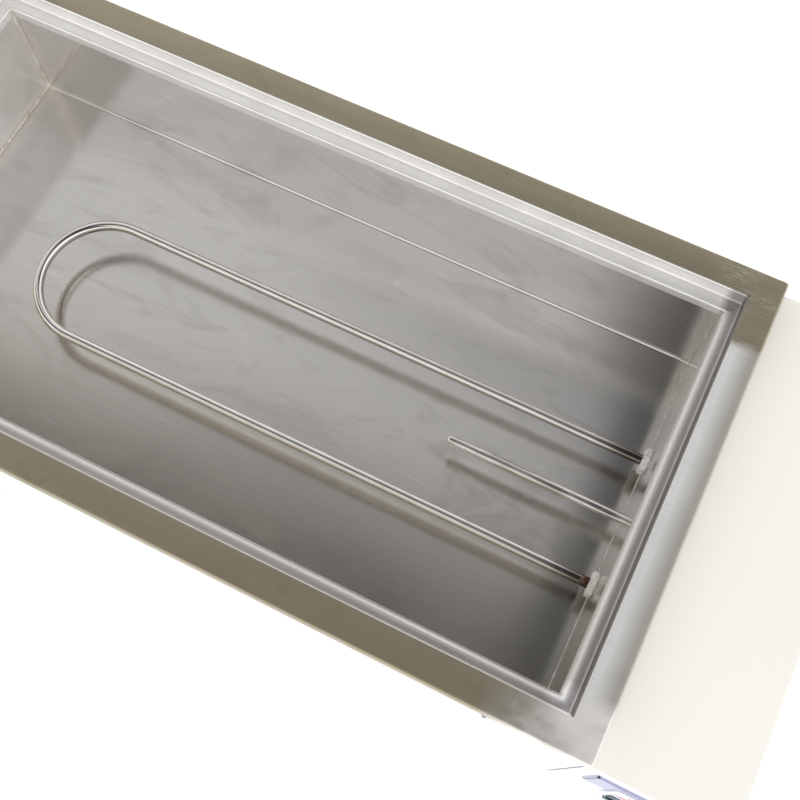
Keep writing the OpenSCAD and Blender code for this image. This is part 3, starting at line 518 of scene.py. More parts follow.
# the weld at the front right-hand corner of the ledge is dressed bright and rough
to_weld = node(tree, "CombineXYZ", to_right, to_front)
to_weld = node(tree, "VectorMath", to_weld, (0.005, 0.005, 0.0), operation="DISTANCE")
dressed = node(tree, "MapRange", to_weld, 0.015, 0.005, To_Max=0.9)
dressed = node(tree, "Math", dressed, patchy, operation="MULTIPLY")
pale = node(tree, "Mix", dressed, pale, "#ffffff", data_type="RGBA")
# the right-hand rebate wall is painted dark grey: a painted reflection of the dark it faces
right_wall_shade = node(tree, "MapRange", to_right, ledge - 0.0016, ledge)
pale = node(tree, "Mix", right_wall_shade, pale, "#7f7b78", data_type="RGBA")
tone = node(tree, "Mix", inner, tone, pale, data_type="RGBA")
feed(shader, Base_Color=tone)
dull = node(tree, "MapRange", clouds, 0.3, 0.7, 0.46, 0.56)
ledge_shine = node(tree, "MapRange", rolled, To_Min=0.5, To_Max=0.85)
shine = node(tree, "Mix", inner, 1.0, ledge_shine)
dull = node(tree, "Math", dull, shine, operation="MULTIPLY")
feed(shader, Roughness=dull)
# a thin film of dry wax hazes the tight ledge, and fine dust the brushed ends
unrolled = node(tree, "MapRange", rolled, To_Min=0.42, To_Max=0.0)
waxed = node(tree, "Math", inner, unrolled, operation="MULTIPLY")
dusty = node(tree, "Mix", inner, on_end, 0.0)
dusty = node(tree, "Math", dusty, 0.22, operation="MULTIPLY")
hazed = node(tree, "Math", waxed, dusty, operation="ADD")
filed = node(tree, "Math", dressed, 0.35, operation="MULTIPLY")
hazed = node(tree, "Math", hazed, filed, operation="MAXIMUM")
bare = node(tree, "Math", 1.0, hazed, operation="SUBTRACT")
feed(shader, Metallic=bare)
brushed = node(tree, "Bump", Height=brush, Strength=0.3, Distance=0.0005)
feed(shader, Normal=brushed)

# the ledge's inner fold is tight along the back and left, and rolled over along the front and right
tight, rolled_over = folded(strip(0.0014), SHEET), folded(strip(0.0062), SHEET)
SIDES = [rolled_over, tight, tight, rolled_over]
CORNER_STEPS = 4
points = []
for i in range(len(tight)):
    for quarter, (sx, sy) in enumerate(((1, 1), (-1, 1), (-1, -1), (1, -1))):
        before, after = SIDES[quarter][i], SIDES[(quarter + 1) % 4][i]
        # the outline that belongs to the end (x) and to the long side (y) at this corner
        end, long = (before, after) if quarter % 2 == 0 else (after, before)
        radius = 0.0006 + 0.0014 * max(0.0, end.x / reach)
        corner = []
        for k in range(CORNER_STEPS + 1):
            angle = math.radians(90 * (quarter + k / CORNER_STEPS))
            corner.append((sx * (in_x + end.x - radius) + radius * math.cos(angle),
                           sy * (in_y + long.x - radius) + radius * math.sin(angle),
                           (end.y + long.y) / 2))
        on_end_side = (sx * (in_x + end.x), sy * (in_y - 0.012), end.y)
        on_long_side = (sx * (in_x - 0.012), sy * (in_y + long.x), long.y)
        if quarter % 2:
            corner = [on_long_side] + corner + [on_end_side]
        else:
            corner = [on_end_side] + corner + [on_long_side]
        points += [(tank_mid.x + x, tank_mid.y + y, z) for x, y, z in corner]
faces = ring_faces(4 * (CORNER_STEPS + 3), len(tight), closed=True)
rim = mesh_object("rim_frame", points, faces=faces, material=rim_steel)
tidy_normals(rim.data)
smooth(rim, 50)
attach(rim, "bath")
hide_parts("rim_front", "rim_back", "rim_left", "rim_right")

# ---- heater tube -----------------------------------------------------------------------------
# The immersion heater's sheath: an 8 mm bright stainless tube bent into a long U, which lies
# level above the floor and leaves through the right-hand end.

tube_low, tube_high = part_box("heater_tube")
tube_r = (tube_high.z - tube_low.z) / 2
tube_z = (tube_high.z + tube_low.z) / 2
bend_r = (tube_high.y - tube_low.y) / 2 - tube_r
bend_y = (tube_high.y + tube_low.y) / 2
bend_x = tube_low.x + tube_r + bend_r


def swept(name, path, outline, material):
    """A closed tube along a path, from an outline of (across, up) points."""
    points = []
    for i, here in enumerate(path):
        before = path[max(i - 1, 0)]
        after = path[min(i + 1, len(path) - 1)]
        run = (after - before).normalized()
        up = Vector((0, 0, 1)) if abs(run.z) < 0.9 else Vector((0, 1, 0))
        across = run.cross(up).normalized()
        up = across.cross(run)
        points += [here + across * a + up * b for a, b in outline]
    n = len(outline)
    faces = ring_faces(n, len(path))
    faces += [tuple(range(n)), tuple(range((len(path) - 1) * n, len(path) * n))]
    obj = mesh_object(name, points, faces=faces, material=material)
    tidy_normals(obj.data)
    return smooth(obj)


def circle(radius, count=32):
    return [(radius * math.cos(math.tau * k / count), radius * math.sin(math.tau * k / count))
            for k in range(count)]


LEG_STEPS = 12
leg_x = [bend_x + (tube_high.x - bend_x) * k / LEG_STEPS for k in range(1, LEG_STEPS + 1)]
path = [Vector((x, bend_y - bend_r, tube_z)) for x in reversed(leg_x)]
for degrees in range(0, 181, 4):
    angle = math.radians(degrees)
    path.append(Vector((bend_x - bend_r * math.sin(angle), bend_y - bend_r * math.cos(angle),
                        tube_z)))
path += [Vector((x, bend_y + bend_r, tube_z)) for x in leg_x]

# Bright-drawn stainless tube: near mirror, faint lines along it, blued and rusted at the nuts
sheath, tree, shader = finish("bright drawn stainless tube", Metallic=1.0)
place = node(tree, "TexCoord", out="Object")
centred = node(tree, "Mapping", place, Location=(-tank_mid.x, -tank_mid.y, -tube_z))
apart = node(tree, "SeparateXYZ", centred, out=None)
drawn = node(tree, "Mapping", centred, Scale=(10, 900, 900))
lines = node(tree, "TexNoise", drawn, Scale=1.0, Detail=3.0)
spots = node(tree, "TexNoise", centred, Scale=70.0, Detail=5.0)
tone = node(tree, "Mix", spots, "#d2cec8", "#f2f0ec", data_type="RGBA")
# the flanks are painted dark: painted shade along both sides of the tube
level = node(tree, "SeparateXYZ", node(tree, "TexCoord", out="Normal"), out="Z")
level = node(tree, "Math", level, operation="ABSOLUTE")
flank_shade = node(tree, "MapRange", level, 0.55, 0.25, To_Max=0.75)
tone = node(tree, "Mix", flank_shade, tone, "#77726b", data_type="RGBA")
heated = node(tree, "MapRange", apart["X"], in_x - 0.046, in_x - 0.016, 0.0, 0.85,
              interpolation_type="SMOOTHSTEP")
tone = node(tree, "Mix", heated, tone, "#5a5148", data_type="RGBA")
spread = node(tree, "Math", spots, 0.012, operation="MULTIPLY")
reached = node(tree, "Math", apart["X"], spread, operation="ADD")
rusty = node(tree, "MapRange", reached, in_x - 0.0065, in_x - 0.0035)
front = node(tree, "Math", apart["Y"], -0.02, operation="LESS_THAN")
rusty = node(tree, "Math", rusty, front, operation="MULTIPLY")
tone = node(tree, "Mix", rusty, tone, "#4b2c1a", data_type="RGBA")
feed(shader, Base_Color=tone)
bare = node(tree, "MapRange", rusty, To_Min=1.0, To_Max=0.1)
feed(shader, Metallic=bare)
dull = node(tree, "MapRange", spots, 0.3, 0.7, 0.08, 0.16)
dull = node(tree, "Math", dull, rusty, operation="MAXIMUM")
feed(shader, Roughness=dull)
drawn_bump = node(tree, "Bump", Height=lines, Strength=0.06, Distance=0.0002)
feed(shader, Normal=drawn_bump)

sheath_tube = swept("heater_sheath", path, circle(tube_r), sheath)
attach(sheath_tube, "bath")
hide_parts("heater_tube")

# ---- heater bushes ---------------------------------------------------------------------------
# Threaded bushes brazed to the heater's legs, with fibre washers under their hexagons. The hexagons
# are coated in a crust of pale scale from the wax and water.

# Forged brass: yellow, slightly grainy, dulled
brass = grained("forged brass", "#b08a45", "#dcbd7c", 380.0, 5.0, (0.24, 0.42), (0.25, 0.0003),
                Metallic=1.0)

# Scale: a chalky mineral crust, matt, pitted, with the dark metal showing through in places
scaled, tree, shader = finish("chalky scale on plated steel", Roughness=0.8)
place = node(tree, "TexCoord", out="Object")
crust = node(tree, "TexNoise", place, Scale=420.0, Detail=6.0, Roughness=0.7)
pits = node(tree, "TexVoronoi", place, Scale=520.0)
chalk = node(tree, "Mix", crust, "#c9c5be", "#faf8f5", data_type="RGBA")
holes = node(tree, "MapRange", pits, 0.12, 0.3)
tone = node(tree, "Mix", holes, "#8d877d", chalk, data_type="RGBA")
feed(shader, Base_Color=tone)
lumps = node(tree, "Bump", Height=crust, Strength=0.9, Distance=0.0012)
feed(shader, Normal=lumps)

# Fibre washer: pressed white fibre, gone grey
washer = grained("grey fibre washer", "#a8a49c", "#dcd9d2", 700.0, 4.0, None, (0.5, 0.0004),
                 Roughness=0.85)
wear(washer, "heater_gaskets")
wear(brass, "heater_lock_nuts")


def turned(name, outline, axis_at, direction, material, count=48):
    """A shape of revolution: (along, radius) points about an axis through a point."""
    direction = Vector(direction).normalized()
    aside = direction.orthogonal().normalized()
    other = direction.cross(aside)
    points = []
    for along, radius in outline:
        for k in range(count):
            angle = math.tau * k / count
            spoke = aside * math.cos(angle) + other * math.sin(angle)
            points.append(Vector(axis_at) + direction * along + spoke * max(radius, 1e-5))
    n = len(outline)
    faces = ring_faces(count, n)
    faces += [tuple(range(count)), tuple(range((n - 1) * count, n * count))]
    obj = mesh_object(name, points, faces=faces, material=material)
    tidy_normals(obj.data)
    return smooth(obj)


def hexagon_nut(name, axis_at, direction, flats, length, bore, material):
    """A hexagon nut whose corners are turned off at both ends, with a straight bore."""
    direction = Vector(direction).normalized()
    up = Vector((0, 0, 1)) if abs(direction.z) < 0.9 else Vector((1, 0, 0))
    aside = direction.cross(up).normalized()
    corner = flats / 2 / math.cos(math.pi / 6)
    count = 48
    rings = []
    BEVEL = 0.0007
    turned_r = flats * 0.46
    for along, reach_r in ((0, bore), (0, turned_r), (BEVEL, corner), (length - BEVEL, corner),
                           (length, turned_r), (length, bore)):
        ring_points = []
        for k in range(count):
            angle = math.tau * k / count
            bend = (angle + math.pi / 6) % (math.pi / 3) - math.pi / 6
            radius = min(reach_r, flats / 2 / math.cos(bend))
            spoke = aside * math.cos(angle) + up * math.sin(angle)
            ring_points.append(Vector(axis_at) + direction * along + spoke * radius)
        rings.append(ring_points)
    points = [p for ring_points in rings for p in ring_points]
    faces = ring_faces(count, len(rings), closed=True)
    obj = mesh_object(name, points, faces=faces, material=material)
    tidy_normals(obj.data)
    return smooth(obj, 25)


def join(name, pieces):
    """Several mesh objects as one."""
    shape = bmesh.new()
    for piece in pieces:
        shape.from_mesh(piece.data)
    mesh = bpy.data.meshes.new(name)
    shape.to_mesh(mesh)
    shape.free()
    for material in pieces[0].data.materials:
        mesh.materials.append(material)
    for piece in pieces:
        bpy.data.objects.remove(piece)
    return link(bpy.data.objects.new(name, mesh))


bush_low, bush_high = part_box("heater_bushes")
washer_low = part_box("heater_gaskets")[0]
NUT_AF = 0.018
SHANK_R = 0.007
CHAMFER = 0.0006
bore_r = tube_r + 0.00005
shank_length = bush_high.x - washer_low.x
shank_outline = [(0, bore_r), (0, SHANK_R), (shank_length - CHAMFER, SHANK_R),
                 (shank_length, SHANK_R - CHAMFER), (shank_length, bore_r)]
legs = [bend_y - bend_r, bend_y + bend_r]
nuts = join("heater_nuts", [
    hexagon_nut(f"nut_{i}", (bush_low.x, y, tube_z), (1, 0, 0), NUT_AF,
                washer_low.x - bush_low.x, bore_r, scaled)
    for i, y in enumerate(legs)])

# the crust: lumps scattered over the hexagons
crusts, sizes = new_tree("scale crust", Gap=0.0011, Lump=0.00055)
spots = node(crusts, "GeometryNodeDistributePointsOnFaces", Mesh=sizes["Geometry"],
             Distance_Min=sizes["Gap"], Density_Max=900000.0, Seed=3, distribute_method="POISSON",
             out=None)
lump = node(crusts, "GeometryNodeMeshIcoSphere", Radius=1.0, Subdivisions=2)
lump = node(crusts, "GeometryNodeSetShadeSmooth", lump)
spread = node(crusts, "FunctionNodeRandomValue", (0.5, 0.5, 0.3), (1.5, 1.5, 0.7), Seed=5,
              data_type="FLOAT_VECTOR")
size = node(crusts, "VectorMath", spread, Scale=sizes["Lump"], operation="SCALE")
placed = node(crusts, "GeometryNodeInstanceOnPoints", Points=spots["Points"], Instance=lump,
              Rotation=spots["Rotation"], Scale=size)
real = node(crusts, "GeometryNodeRealizeInstances", placed)
both = node(crusts, "GeometryNodeJoinGeometry", real)
crusts.links.new(sizes["Geometry"], both.node.inputs[0])
coated = node(crusts, "GeometryNodeSetMaterial", both, Material=scaled)
node(crusts, "NodeGroupOutput", coated, out=None)
grow(nuts, crusts)
shanks = join("bush_shanks", [
    turned(f"shank_{i}", shank_outline, (washer_low.x, y, tube_z), (1, 0, 0), brass)
    for i, y in enumerate(legs)])
for piece in (nuts, shanks):
    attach(piece, "bath")
    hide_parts("heater_bushes")

# ---- probe well ------------------------------------------------------------------------------
# A closed stainless tube that holds the temperature sensor. Its tip was pinched and welded
# shut by hand, so its surface is uneven.

well_low, well_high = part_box("probe_well")
well_r = (well_high.y - well_low.y) / 2
well_y = (well_high.y + well_low.y) / 2
well_z = (well_high.z + well_low.z) / 2
outline = [(0.0, 0.0)]
outline += [(well_r * (1 - math.cos(math.radians(a))), well_r * math.sin(math.radians(a)))
            for a in range(15, 91, 15)]
outline += [(0.009, well_r * 0.93), (0.012, well_r * 0.97), (0.016, well_r)]
outline += [(0.016 + (well_high.x - well_low.x - 0.016) * k / 20, well_r) for k in range(1, 21)]

# Handled stainless tube: dull and satin, with brighter rubbed patches
dull_tube, tree, shader = finish("satin stainless tube", Metallic=1.0)
place = node(tree, "TexCoord", out="Object")
rubbed = node(tree, "Mapping", place, Scale=(24, 150, 150))
patches = node(tree, "TexNoise", rubbed, Scale=1.0, Detail=3.0, Distortion=0.2)
worn = node(tree, "MapRange", patches, 0.4, 0.62)
tone = node(tree, "Mix", worn, "#c4c0b9", "#f4f3f0", data_type="RGBA")
feed(shader, Base_Color=tone)
dull = node(tree, "MapRange", worn, To_Min=0.16, To_Max=0.3)
feed(shader, Roughness=dull)
uneven = node(tree, "Bump", Height=patches, Strength=0.15, Distance=0.0005)
feed(shader, Normal=uneven)
well = turned("probe_tube", outline, (well_low.x, well_y, well_z), (1, 0, 0), dull_tube, 32)
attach(well, "bath")
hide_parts("probe_well")

# ---- casing ----------------------------------------------------------------------------------
# Folded mild-steel panels, powder coated: cool white for the shell and the control box's
# front and back, cream for its one-piece cover.


def powder_coat(name, base, shade):
    """Powder coat: a semi-gloss polyester skin with a fine orange peel."""
    coat, tree, shader = finish(name, Roughness=0.32, IOR=1.5, Coat_Weight=0.2, Coat_Roughness=0.12)
    place = node(tree, "TexCoord", out="Object")
    peel = node(tree, "TexNoise", place, Scale=620.0, Detail=1.0)
    clouds = node(tree, "TexNoise", place, Scale=6.0, Detail=3.0)
    tone = node(tree, "Mix", clouds, shade, base, data_type="RGBA")
    feed(shader, Base_Color=tone)
    dull = node(tree, "MapRange", clouds, To_Min=0.27, To_Max=0.38)
    feed(shader, Roughness=dull)
    skin = node(tree, "Bump", Height=peel, Strength=0.12, Distance=0.0004)
    feed(shader, Normal=skin)
    return coat


white_coat = powder_coat("cool white powder coat", "#f4f5fb", "#eceef6")
cream_coat = powder_coat("cream powder coat", "#f1efe9", "#edeae3")
wear(white_coat, "shell_front", "shell_back", "shell_left", "control_front", "control_back")
wear(cream_coat, "control_cover")

# ---- galvanised parts ------------------------------------------------------------------------
# The base pan, partition, support rails and lever are zinc-coated steel, not painted.

# Galvanised sheet: zinc crystals, each a slightly different grey
zinc, tree, shader = finish("galvanised steel", Metallic=1.0)
place = node(tree, "TexCoord", out="Object")
spangle = node(tree, "TexVoronoi", place, Scale=150.0, out=None)
grey = node(tree, "SeparateXYZ", spangle["Color"])
tone = node(tree, "Mix", grey, "#9ea3a8", "#c6cacd", data_type="RGBA")
feed(shader, Base_Color=tone)
dull = node(tree, "MapRange", grey, To_Min=0.35, To_Max=0.55)
feed(shader, Roughness=dull)
wear(zinc, "partition", "base_pan", "support_rails", "drain_lever")
wear(steel, "hanger_brackets", "drain_pipe")

# ---- insulation ------------------------------------------------------------------------------
# Cut pads of yellow glass wool around and under the tank, hidden by the casing.

# Glass wool: matt, matted yellow fibre
wool = grained("yellow glass wool", "#b9a85a", "#ece09a", 260.0, 6.0, None, (0.8, 0.002), 2.0,
               Roughness=1.0, Sheen_Weight=0.3)
wear(wool, "insulation_sides", "insulation_ends", "insulation_base")

# ---- screws ----------------------------------------------------------------------------------
# Chromed M4 pan heads with a cross recess hold the panels, and one holds each foot.

# Chrome plate: a clear mirror, a little hazed by handling
chrome = grained("chrome plate", "#c9ccd0", "#eeeff0", 300.0, 3.0, (0.06, 0.2), Metallic=1.0)

# each CAD screw is an island of the node's mesh: its long axis and its wide end give its place
HEAD_R, HEAD_H = 0.0035, 0.0023
shape = bmesh.new()
shape.from_mesh(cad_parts["screws"].data)
bmesh.ops.remove_doubles(shape, verts=shape.verts, dist=1e-6)
left_over = set(shape.verts)
seats, facings = [], []
while left_over:
    first = min(left_over, key=lambda v: v.index)
    island, edge_of = {first}, [first]
    while edge_of:
        for e in edge_of.pop().link_edges:
            for v in e.verts:
                if v not in island:
                    island.add(v)
                    edge_of.append(v)
    left_over -= island
    low = Vector([min(v.co[a] for v in island) for a in range(3)])
    high = Vector([max(v.co[a] for v in island) for a in range(3)])
    axis = max(range(3), key=lambda a: high[a] - low[a])
    middle = (low + high) / 2
    spread = {True: 0.0, False: 0.0}
    for v in island:
        offset = v.co - middle
        along = offset[axis]
        offset[axis] = 0
        spread[along > 0] = max(spread[along > 0], offset.length)
    sign = 1 if spread[True] > spread[False] else -1
    facing = Vector([sign if a == axis else 0 for a in range(3)])
    seats.append(middle + facing * ((high[axis] - low[axis]) / 2 - HEAD_H))
    facings.append(facing)
shape.free()

# one screw, pointing along +Z, with its head above z = 0
RECESS_R, RECESS_DEPTH, ARM_W, SCREW_R = 0.0019, 0.0011, 0.00045, 0.00195
count = 64
levels = [0.0, 0.00016, 0.0003, 0.00045, 0.0006, 0.0008, 0.001, 0.0012, 0.0014, 0.0016, 0.0018,
          0.0021, 0.0025, 0.0029, 0.0032]
points = []
for radius in levels:
    for k in range(count):
        angle = math.tau * k / count
        x, y = radius * math.cos(angle), radius * math.sin(angle)
        dome = HEAD_H - 0.0009 * (radius / HEAD_R) ** 2 - 0.0004 * (radius / HEAD_R) ** 8
        arm = max(min(1.0, (ARM_W - min(abs(x), abs(y))) / 0.00012 + 0.5), 0.0)
        inside = max(min(1.0, (RECESS_R - radius) / 0.0003 + 0.5), 0.0)
        points.append((x, y, dome - RECESS_DEPTH * arm * inside * (1 - 0.3 * radius / RECESS_R)))
for radius, z in ((0.00338, 0.0012), (HEAD_R, 0.0008), (HEAD_R, 0.0), (SCREW_R, 0.0),
                  (SCREW_R, -0.0073), (0.0012, -0.008)):
    for k in range(count):
        angle = math.tau * k / count
        points.append((radius * math.cos(angle), radius * math.sin(angle), z))
rows = len(levels) + 6
faces = ring_faces(count, rows)
faces.append(tuple(range((rows - 1) * count, rows * count)))
screw_shape = mesh_object("one_screw", points, faces=faces, material=chrome)
tidy_normals(screw_shape.data)
smooth(screw_shape, 45)

fixings, sizes = new_tree("screws", Scale=1.0)
facing = node(fixings, "GeometryNodeInputNamedAttribute", Name="facing", data_type="FLOAT_VECTOR",
              out="Attribute")
turn = node(fixings, "FunctionNodeAlignRotationToVector", Vector=facing, axis="Z")
spin = node(fixings, "FunctionNodeRandomValue", 0.0, 1.5, Seed=2, data_type="FLOAT")
own = node(fixings, "FunctionNodeAxisAngleToRotation", Angle=spin)
turn = node(fixings, "FunctionNodeRotateRotation", turn, own, rotation_space="LOCAL")
pattern = node(fixings, "GeometryNodeObjectInfo", Object=screw_shape, out="Geometry")
points_of = node(fixings, "GeometryNodeMeshToPoints", sizes["Geometry"])
placed = node(fixings, "GeometryNodeInstanceOnPoints", Points=points_of, Instance=pattern,
              Rotation=turn, Scale=sizes["Scale"])
real = node(fixings, "GeometryNodeRealizeInstances", placed)
coated = node(fixings, "GeometryNodeSetMaterial", real, Material=chrome)
node(fixings, "NodeGroupOutput", coated, out=None)
all_screws = mesh_object("panel_screws", seats)
mark = all_screws.data.attributes.new("facing", "FLOAT_VECTOR", "POINT")
for i, facing_out in enumerate(facings):
    mark.data[i].vector = facing_out
grow(all_screws, fixings)
bpy.data.objects.remove(screw_shape)
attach(all_screws, "bath")
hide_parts("screws")

# ---- fascia ----------------------------------------------------------------------------------
# A printed polycarbonate film on the control box's front, with a lavender band along its top,
# around a moulded controller with a red window, two lamps and four rubber keys.

fascia_low, fascia_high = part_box("fascia")
fascia_mid = (fascia_low + fascia_high) / 2
front_y = fascia_low.y
BAND_SHARE = 0.42

# Printed polycarbonate film: satin, white, with a lavender band along its top; the dark line round the
# band is painted shade of the film's edge
film_ink, tree, shader = finish("printed polycarbonate film", Roughness=0.36, IOR=1.5)
place = node(tree, "TexCoord", out="Object")
centred = node(tree, "Mapping", place, Location=(-fascia_mid.x, 0, -fascia_mid.z))
apart = node(tree, "SeparateXYZ", centred, out=None)
side_x = node(tree, "Math", apart["X"], operation="ABSOLUTE")
side_z = node(tree, "Math", apart["Z"], operation="ABSOLUTE")
half_w = (fascia_high.x - fascia_low.x) / 2
half_h = (fascia_high.z - fascia_low.z) / 2
edge_x = node(tree, "Math", half_w, side_x, operation="SUBTRACT")
edge_z = node(tree, "Math", half_h, side_z, operation="SUBTRACT")
edge = node(tree, "Math", edge_x, edge_z, operation="MINIMUM")
# a dark line 1 mm in from the edge, round the band: painted shade standing in for the shadow at the
# film's edge
off_line = node(tree, "Math", edge, 0.001, operation="SUBTRACT")
off_line = node(tree, "Math", off_line, operation="ABSOLUTE")
edge_shade_line = node(tree, "Math", off_line, 0.0008, operation="LESS_THAN")
below_top = node(tree, "Math", half_h, apart["Z"], operation="SUBTRACT")
in_band = node(tree, "Math", below_top, BAND_SHARE * 2 * half_h, operation="LESS_THAN")
edge_shade_line = node(tree, "Math", edge_shade_line, in_band, operation="MULTIPLY")
fine = node(tree, "TexNoise", place, Scale=1800.0, Detail=2.0)
tone = node(tree, "Mix", fine, "#a8a8c4", "#b1b1ca", data_type="RGBA")
tone = node(tree, "Mix", in_band, "#f1f2f8", tone, data_type="RGBA")
tone = node(tree, "Mix", edge_shade_line, tone, "#23262f", data_type="RGBA")
feed(shader, Base_Color=tone)
satin = node(tree, "Bump", Height=fine, Strength=0.1, Distance=0.0001)
feed(shader, Normal=satin)
wear(film_ink, "fascia")


def moulded(name, base, shade, roughness, grain_scale=1400.0):
    """Moulded plastic or rubber: one colour, with the mould's fine spark-eroded texture."""
    gloss = (roughness - 0.06, roughness + 0.08)
    return grained(name, shade, base, grain_scale, 3.0, gloss, (0.25, 0.0002), IOR=1.5)


grey_abs = moulded("grey moulded ABS", "#dfe1e8", "#d5d8e0", 0.42)
black_abs = moulded("black moulded ABS", "#26282c", "#1a1b1e", 0.38)
key_rubber = moulded("grey silicone rubber", "#56616e", "#49535f", 0.6)
wear(grey_abs, "controller_bezel")
wear(black_abs, "controller_housing", "switch_housing", "relay")
wear(key_rubber, "key_set", "key_mode", "key_down", "key_up")

# Red window: tinted acrylic, dark when the digits behind it are off
window = grained("tinted red acrylic", "#dd4f68", "#e5647b", 90.0, 2.0, Roughness=0.08, IOR=1.49,
                 Coat_Weight=0.4)
wear(window, "display_lens")

# three unlit seven-segment digits, just proud of the window's face
lens_low, lens_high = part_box("display_lens")
# Unlit segments: a paler, printed red
segment_ink = moulded("pale red segment ink", "#f0a4b2", "#ea98a8", 0.3)
DIGIT = Vector((0.0052, 0, 0.0094))
SEGMENT = 0.0011
blocks = []
for column in (-1, 0, 1):
    middle = Vector(((lens_low.x + lens_high.x) / 2 + column * 0.0082, lens_low.y - 0.00003,
                     (lens_low.z + lens_high.z) / 2))
    for level in (-1, 0, 1):
        blocks.append((middle + Vector((0, 0, level * DIGIT.z / 2)), DIGIT.x - 1.4 * SEGMENT, SEGMENT))
    for side in (-1, 1):
        for level in (-1, 1):
            at = middle + Vector((side * DIGIT.x / 2, 0, level * DIGIT.z / 4))
            blocks.append((at, SEGMENT, DIGIT.z / 2 - 1.4 * SEGMENT))


def tiles(name, blocks, depth, material):
    """Thin upright tiles facing the front: each a centre, a width and a height."""
    points, faces = [], []
    for at, width, height in blocks:
        first = len(points)
        for y in (-depth, depth):
            for x, z in ((-1, -1), (1, -1), (1, 1), (-1, 1)):
                points.append(at + Vector((x * width / 2, y, z * height / 2)))
        faces += [[first + k for k in face] for face in (
            (0, 1, 2, 3), (7, 6, 5, 4), (0, 4, 5, 1), (1, 5, 6, 2), (2, 6, 7, 3), (3, 7, 4, 0))]
    obj = mesh_object(name, points, faces=faces, material=material)
    tidy_normals(obj.data)
    return obj


digits = tiles("display_digits", blocks, 0.00005, segment_ink)
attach(digits, "bath")

# Key symbols: white ink, one sign on each key
white_ink = moulded("white pad-printed ink", "#f2f4f5", "#e6e8ea", 0.5)
SIGN = 0.0013


def sign_points(kind):
    if kind == "key_up":
        return [(-1, -0.8), (1, -0.8), (0, 0.9)]
    if kind == "key_down":
        return [(-1, 0.8), (0, -0.9), (1, 0.8)]
    if kind == "key_set":
        return [(-0.9, -0.9), (0.9, -0.9), (0.9, 0.9), (-0.9, 0.9)]
    return circle(1.0, 24)


for name in ("key_set", "key_mode", "key_down", "key_up"):
    low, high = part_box(name)
    flat = sign_points(name)
    n = len(flat)
    mid_x, mid_z = (low.x + high.x) / 2, (low.z + high.z) / 2
    points = [(mid_x + SIGN * x, low.y + y, mid_z + SIGN * z)
              for y in (-0.00005, 0.0002) for x, z in flat]
    faces = [tuple(range(n)), tuple(range(2 * n - 1, n - 1, -1))]
    faces += [(k, n + k, n + (k + 1) % n, (k + 1) % n) for k in range(n)]
    sign = mesh_object(name + "_sign", points, faces=faces, material=white_ink)
    tidy_normals(sign.data)
    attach(sign, name)

# Lamp lenses: amber moulded acrylic
amber = moulded("amber acrylic lens", "#f0b23c", "#e09a24", 0.15, 400.0)
wear(amber, "indicator_lamps")

# ---- power switch ----------------------------------------------------------------------------
# A snap-in rocker switch in a black frame, with a teal rocker.

teal = moulded("teal moulded nylon", "#1f9a8e", "#18857b", 0.3)
wear(teal, "power_rocker")

# an upright bar on the right-hand wing and a ring on the left-hand one, in the plane of each wing
rocker_low, rocker_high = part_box("power_rocker")
housing_low, housing_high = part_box("switch_housing")
pivot = Vector(((housing_low.x + housing_high.x) / 2, front_y + 0.0005,
                (rocker_low.z + rocker_high.z) / 2))
ROCKER_R = 0.0086
MM = 0.001
TILT, TIP = math.radians(8.7), math.radians(22)
turn = Matrix.Rotation(TILT, 3, "Z")
centre_dip = -ROCKER_R * (math.sin(TIP) - math.cos(TIP) * math.tan(TILT))
mark_points, mark_faces = [], []
for side in (-1, 1):
    tip = Vector((side * ROCKER_R * math.cos(TIP), -ROCKER_R * math.sin(TIP), 0))
    dip = Vector((0, centre_dip, 0))
    along = (tip - dip).normalized()
    middle = dip + (tip - dip) * 0.55
    out_of = Vector((along.y, -along.x, 0)) * side
    if out_of.y > 0:
        out_of = -out_of
    if side > 0:
        loops = [[(-0.35, -1.9), (0.35, -1.9), (0.35, 1.9), (-0.35, 1.9)]]
    else:
        loops = [circle(1.7, 32), circle(1.15, 32)]
    for lift in (0.00005, -0.0002):
        for loop in loops:
            for a, b in loop:
                at = middle + along * a * MM + out_of * lift + Vector((0, 0, b * MM))
                mark_points.append(pivot + turn @ at)
    n = len(loops[0])
    first = len(mark_points) - 2 * n * len(loops)
    if side > 0:
        mark_faces += [[first + k for k in range(n)], [first + 2 * n - 1 - k for k in range(n)]]
        mark_faces += [[first + k, first + n + k, first + n + (k + 1) % n, first + (k + 1) % n]
                       for k in range(n)]
    else:
        for k in range(n):
            m = (k + 1) % n
            for a, b in ((0, 1), (1, 3), (3, 2), (2, 0)):
                mark_faces.append([first + a * n + k, first + a * n + m,
                                   first + b * n + m, first + b * n + k])
marks = mesh_object("rocker_marks", mark_points, faces=mark_faces, material=white_ink)
tidy_normals(marks.data)
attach(marks, "power_rocker")

# ---- inside the control box ------------------------------------------------------------------
# The relay, terminal block, board and wiring, hidden by the cover.

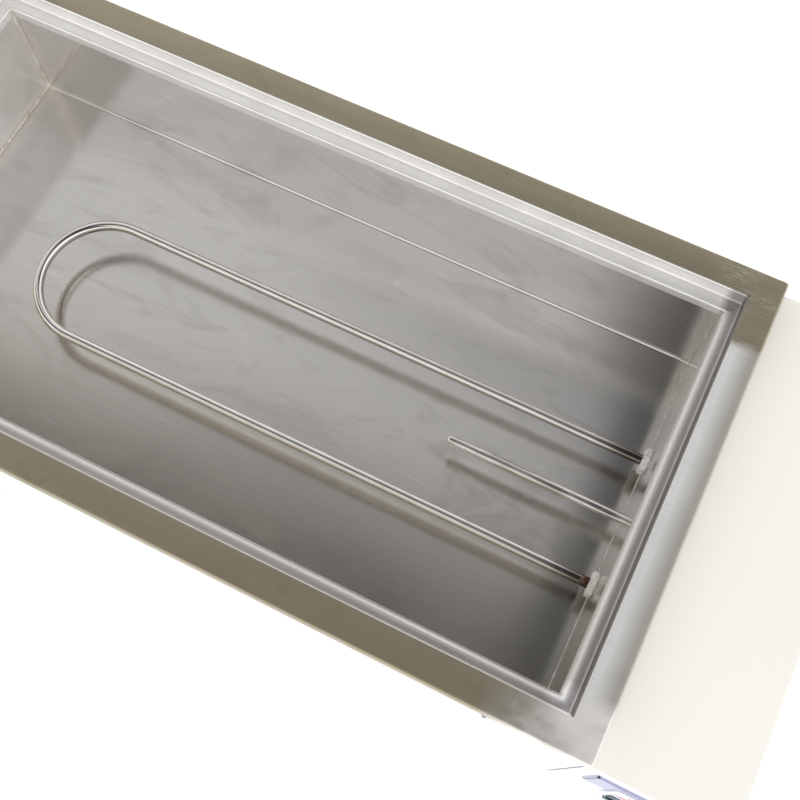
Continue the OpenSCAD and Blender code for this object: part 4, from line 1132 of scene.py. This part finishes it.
green_board = moulded("green solder resist", "#2f7d4a", "#276b3f", 0.35)
cream_nylon = moulded("cream moulded nylon", "#e6e2d3", "#d9d4c4", 0.45)
wire_pvc = moulded("brown PVC wire", "#7a3b3b", "#6b3131", 0.4)
ceramic = moulded("white glazed ceramic", "#f3f0e6", "#e6e2d6", 0.2, 300.0)
glass = moulded("fuse glass and caps", "#d8dcda", "#c4c9c7", 0.15, 300.0)
wear(green_board, "controller_board")
wear(cream_nylon, "terminal_block")
wear(wire_pvc, "internal_wiring")
wear(ceramic, "heater_insulators")
wear(glass, "fuse_link")
wear(zinc, "heater_terminals", "temperature_sensor")

# ---- back of the control box -----------------------------------------------------------------
# A black nylon gland for the mains cord, and a fuse holder with a slotted cap.

seal_rubber = moulded("black rubber", "#1f1f21", "#151516", 0.7)
wear(black_abs, "gland_body", "gland_nut", "fuse_holder", "fuse_cap")
wear(seal_rubber, "gland_seal", "feet")

# ---- drain -----------------------------------------------------------------------------------
# A quarter-turn ball valve on the tank's drain pipe, with a red-gripped lever.

wear(brass, "valve_body")
tail_low, tail_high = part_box("valve_tail")
tail_mid = (tail_low + tail_high) / 2
HOSE_R = 0.0065
BORE_R = 0.005
HEX_FROM, HEX_LENGTH = 0.035, 0.008
outline = [(0, BORE_R), (0, HOSE_R - 0.001)]
for k in range(5):
    outline += [(0.006 + 0.005 * k, HOSE_R), (0.0062 + 0.005 * k, HOSE_R - 0.0011)]
outline += [(0.0345, HOSE_R - 0.0011), (0.0435, HOSE_R - 0.0005), (0.0435, 0.0103),
            (0.049, 0.0103), (0.049, BORE_R)]
tail = join("barbed_tail", [
    turned("tail_turned", outline, (tail_low.x, tail_mid.y, tail_mid.z), (1, 0, 0), brass),
    hexagon_nut("tail_hexagon", (tail_low.x + HEX_FROM - 0.0001, tail_mid.y, tail_mid.z), (1, 0, 0),
                0.024, HEX_LENGTH, BORE_R, brass)])
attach(tail, "bath")
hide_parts("valve_tail")
wear(chrome, "drain_ball", "drain_stem", "lever_nut")
ptfe = moulded("white PTFE", "#f4f4f0", "#e8e8e3", 0.45)
wear(ptfe, "valve_seats")
vinyl = moulded("red dipped vinyl", "#c0272d", "#a81f26", 0.35, 500.0)
wear(vinyl, "lever_grip")
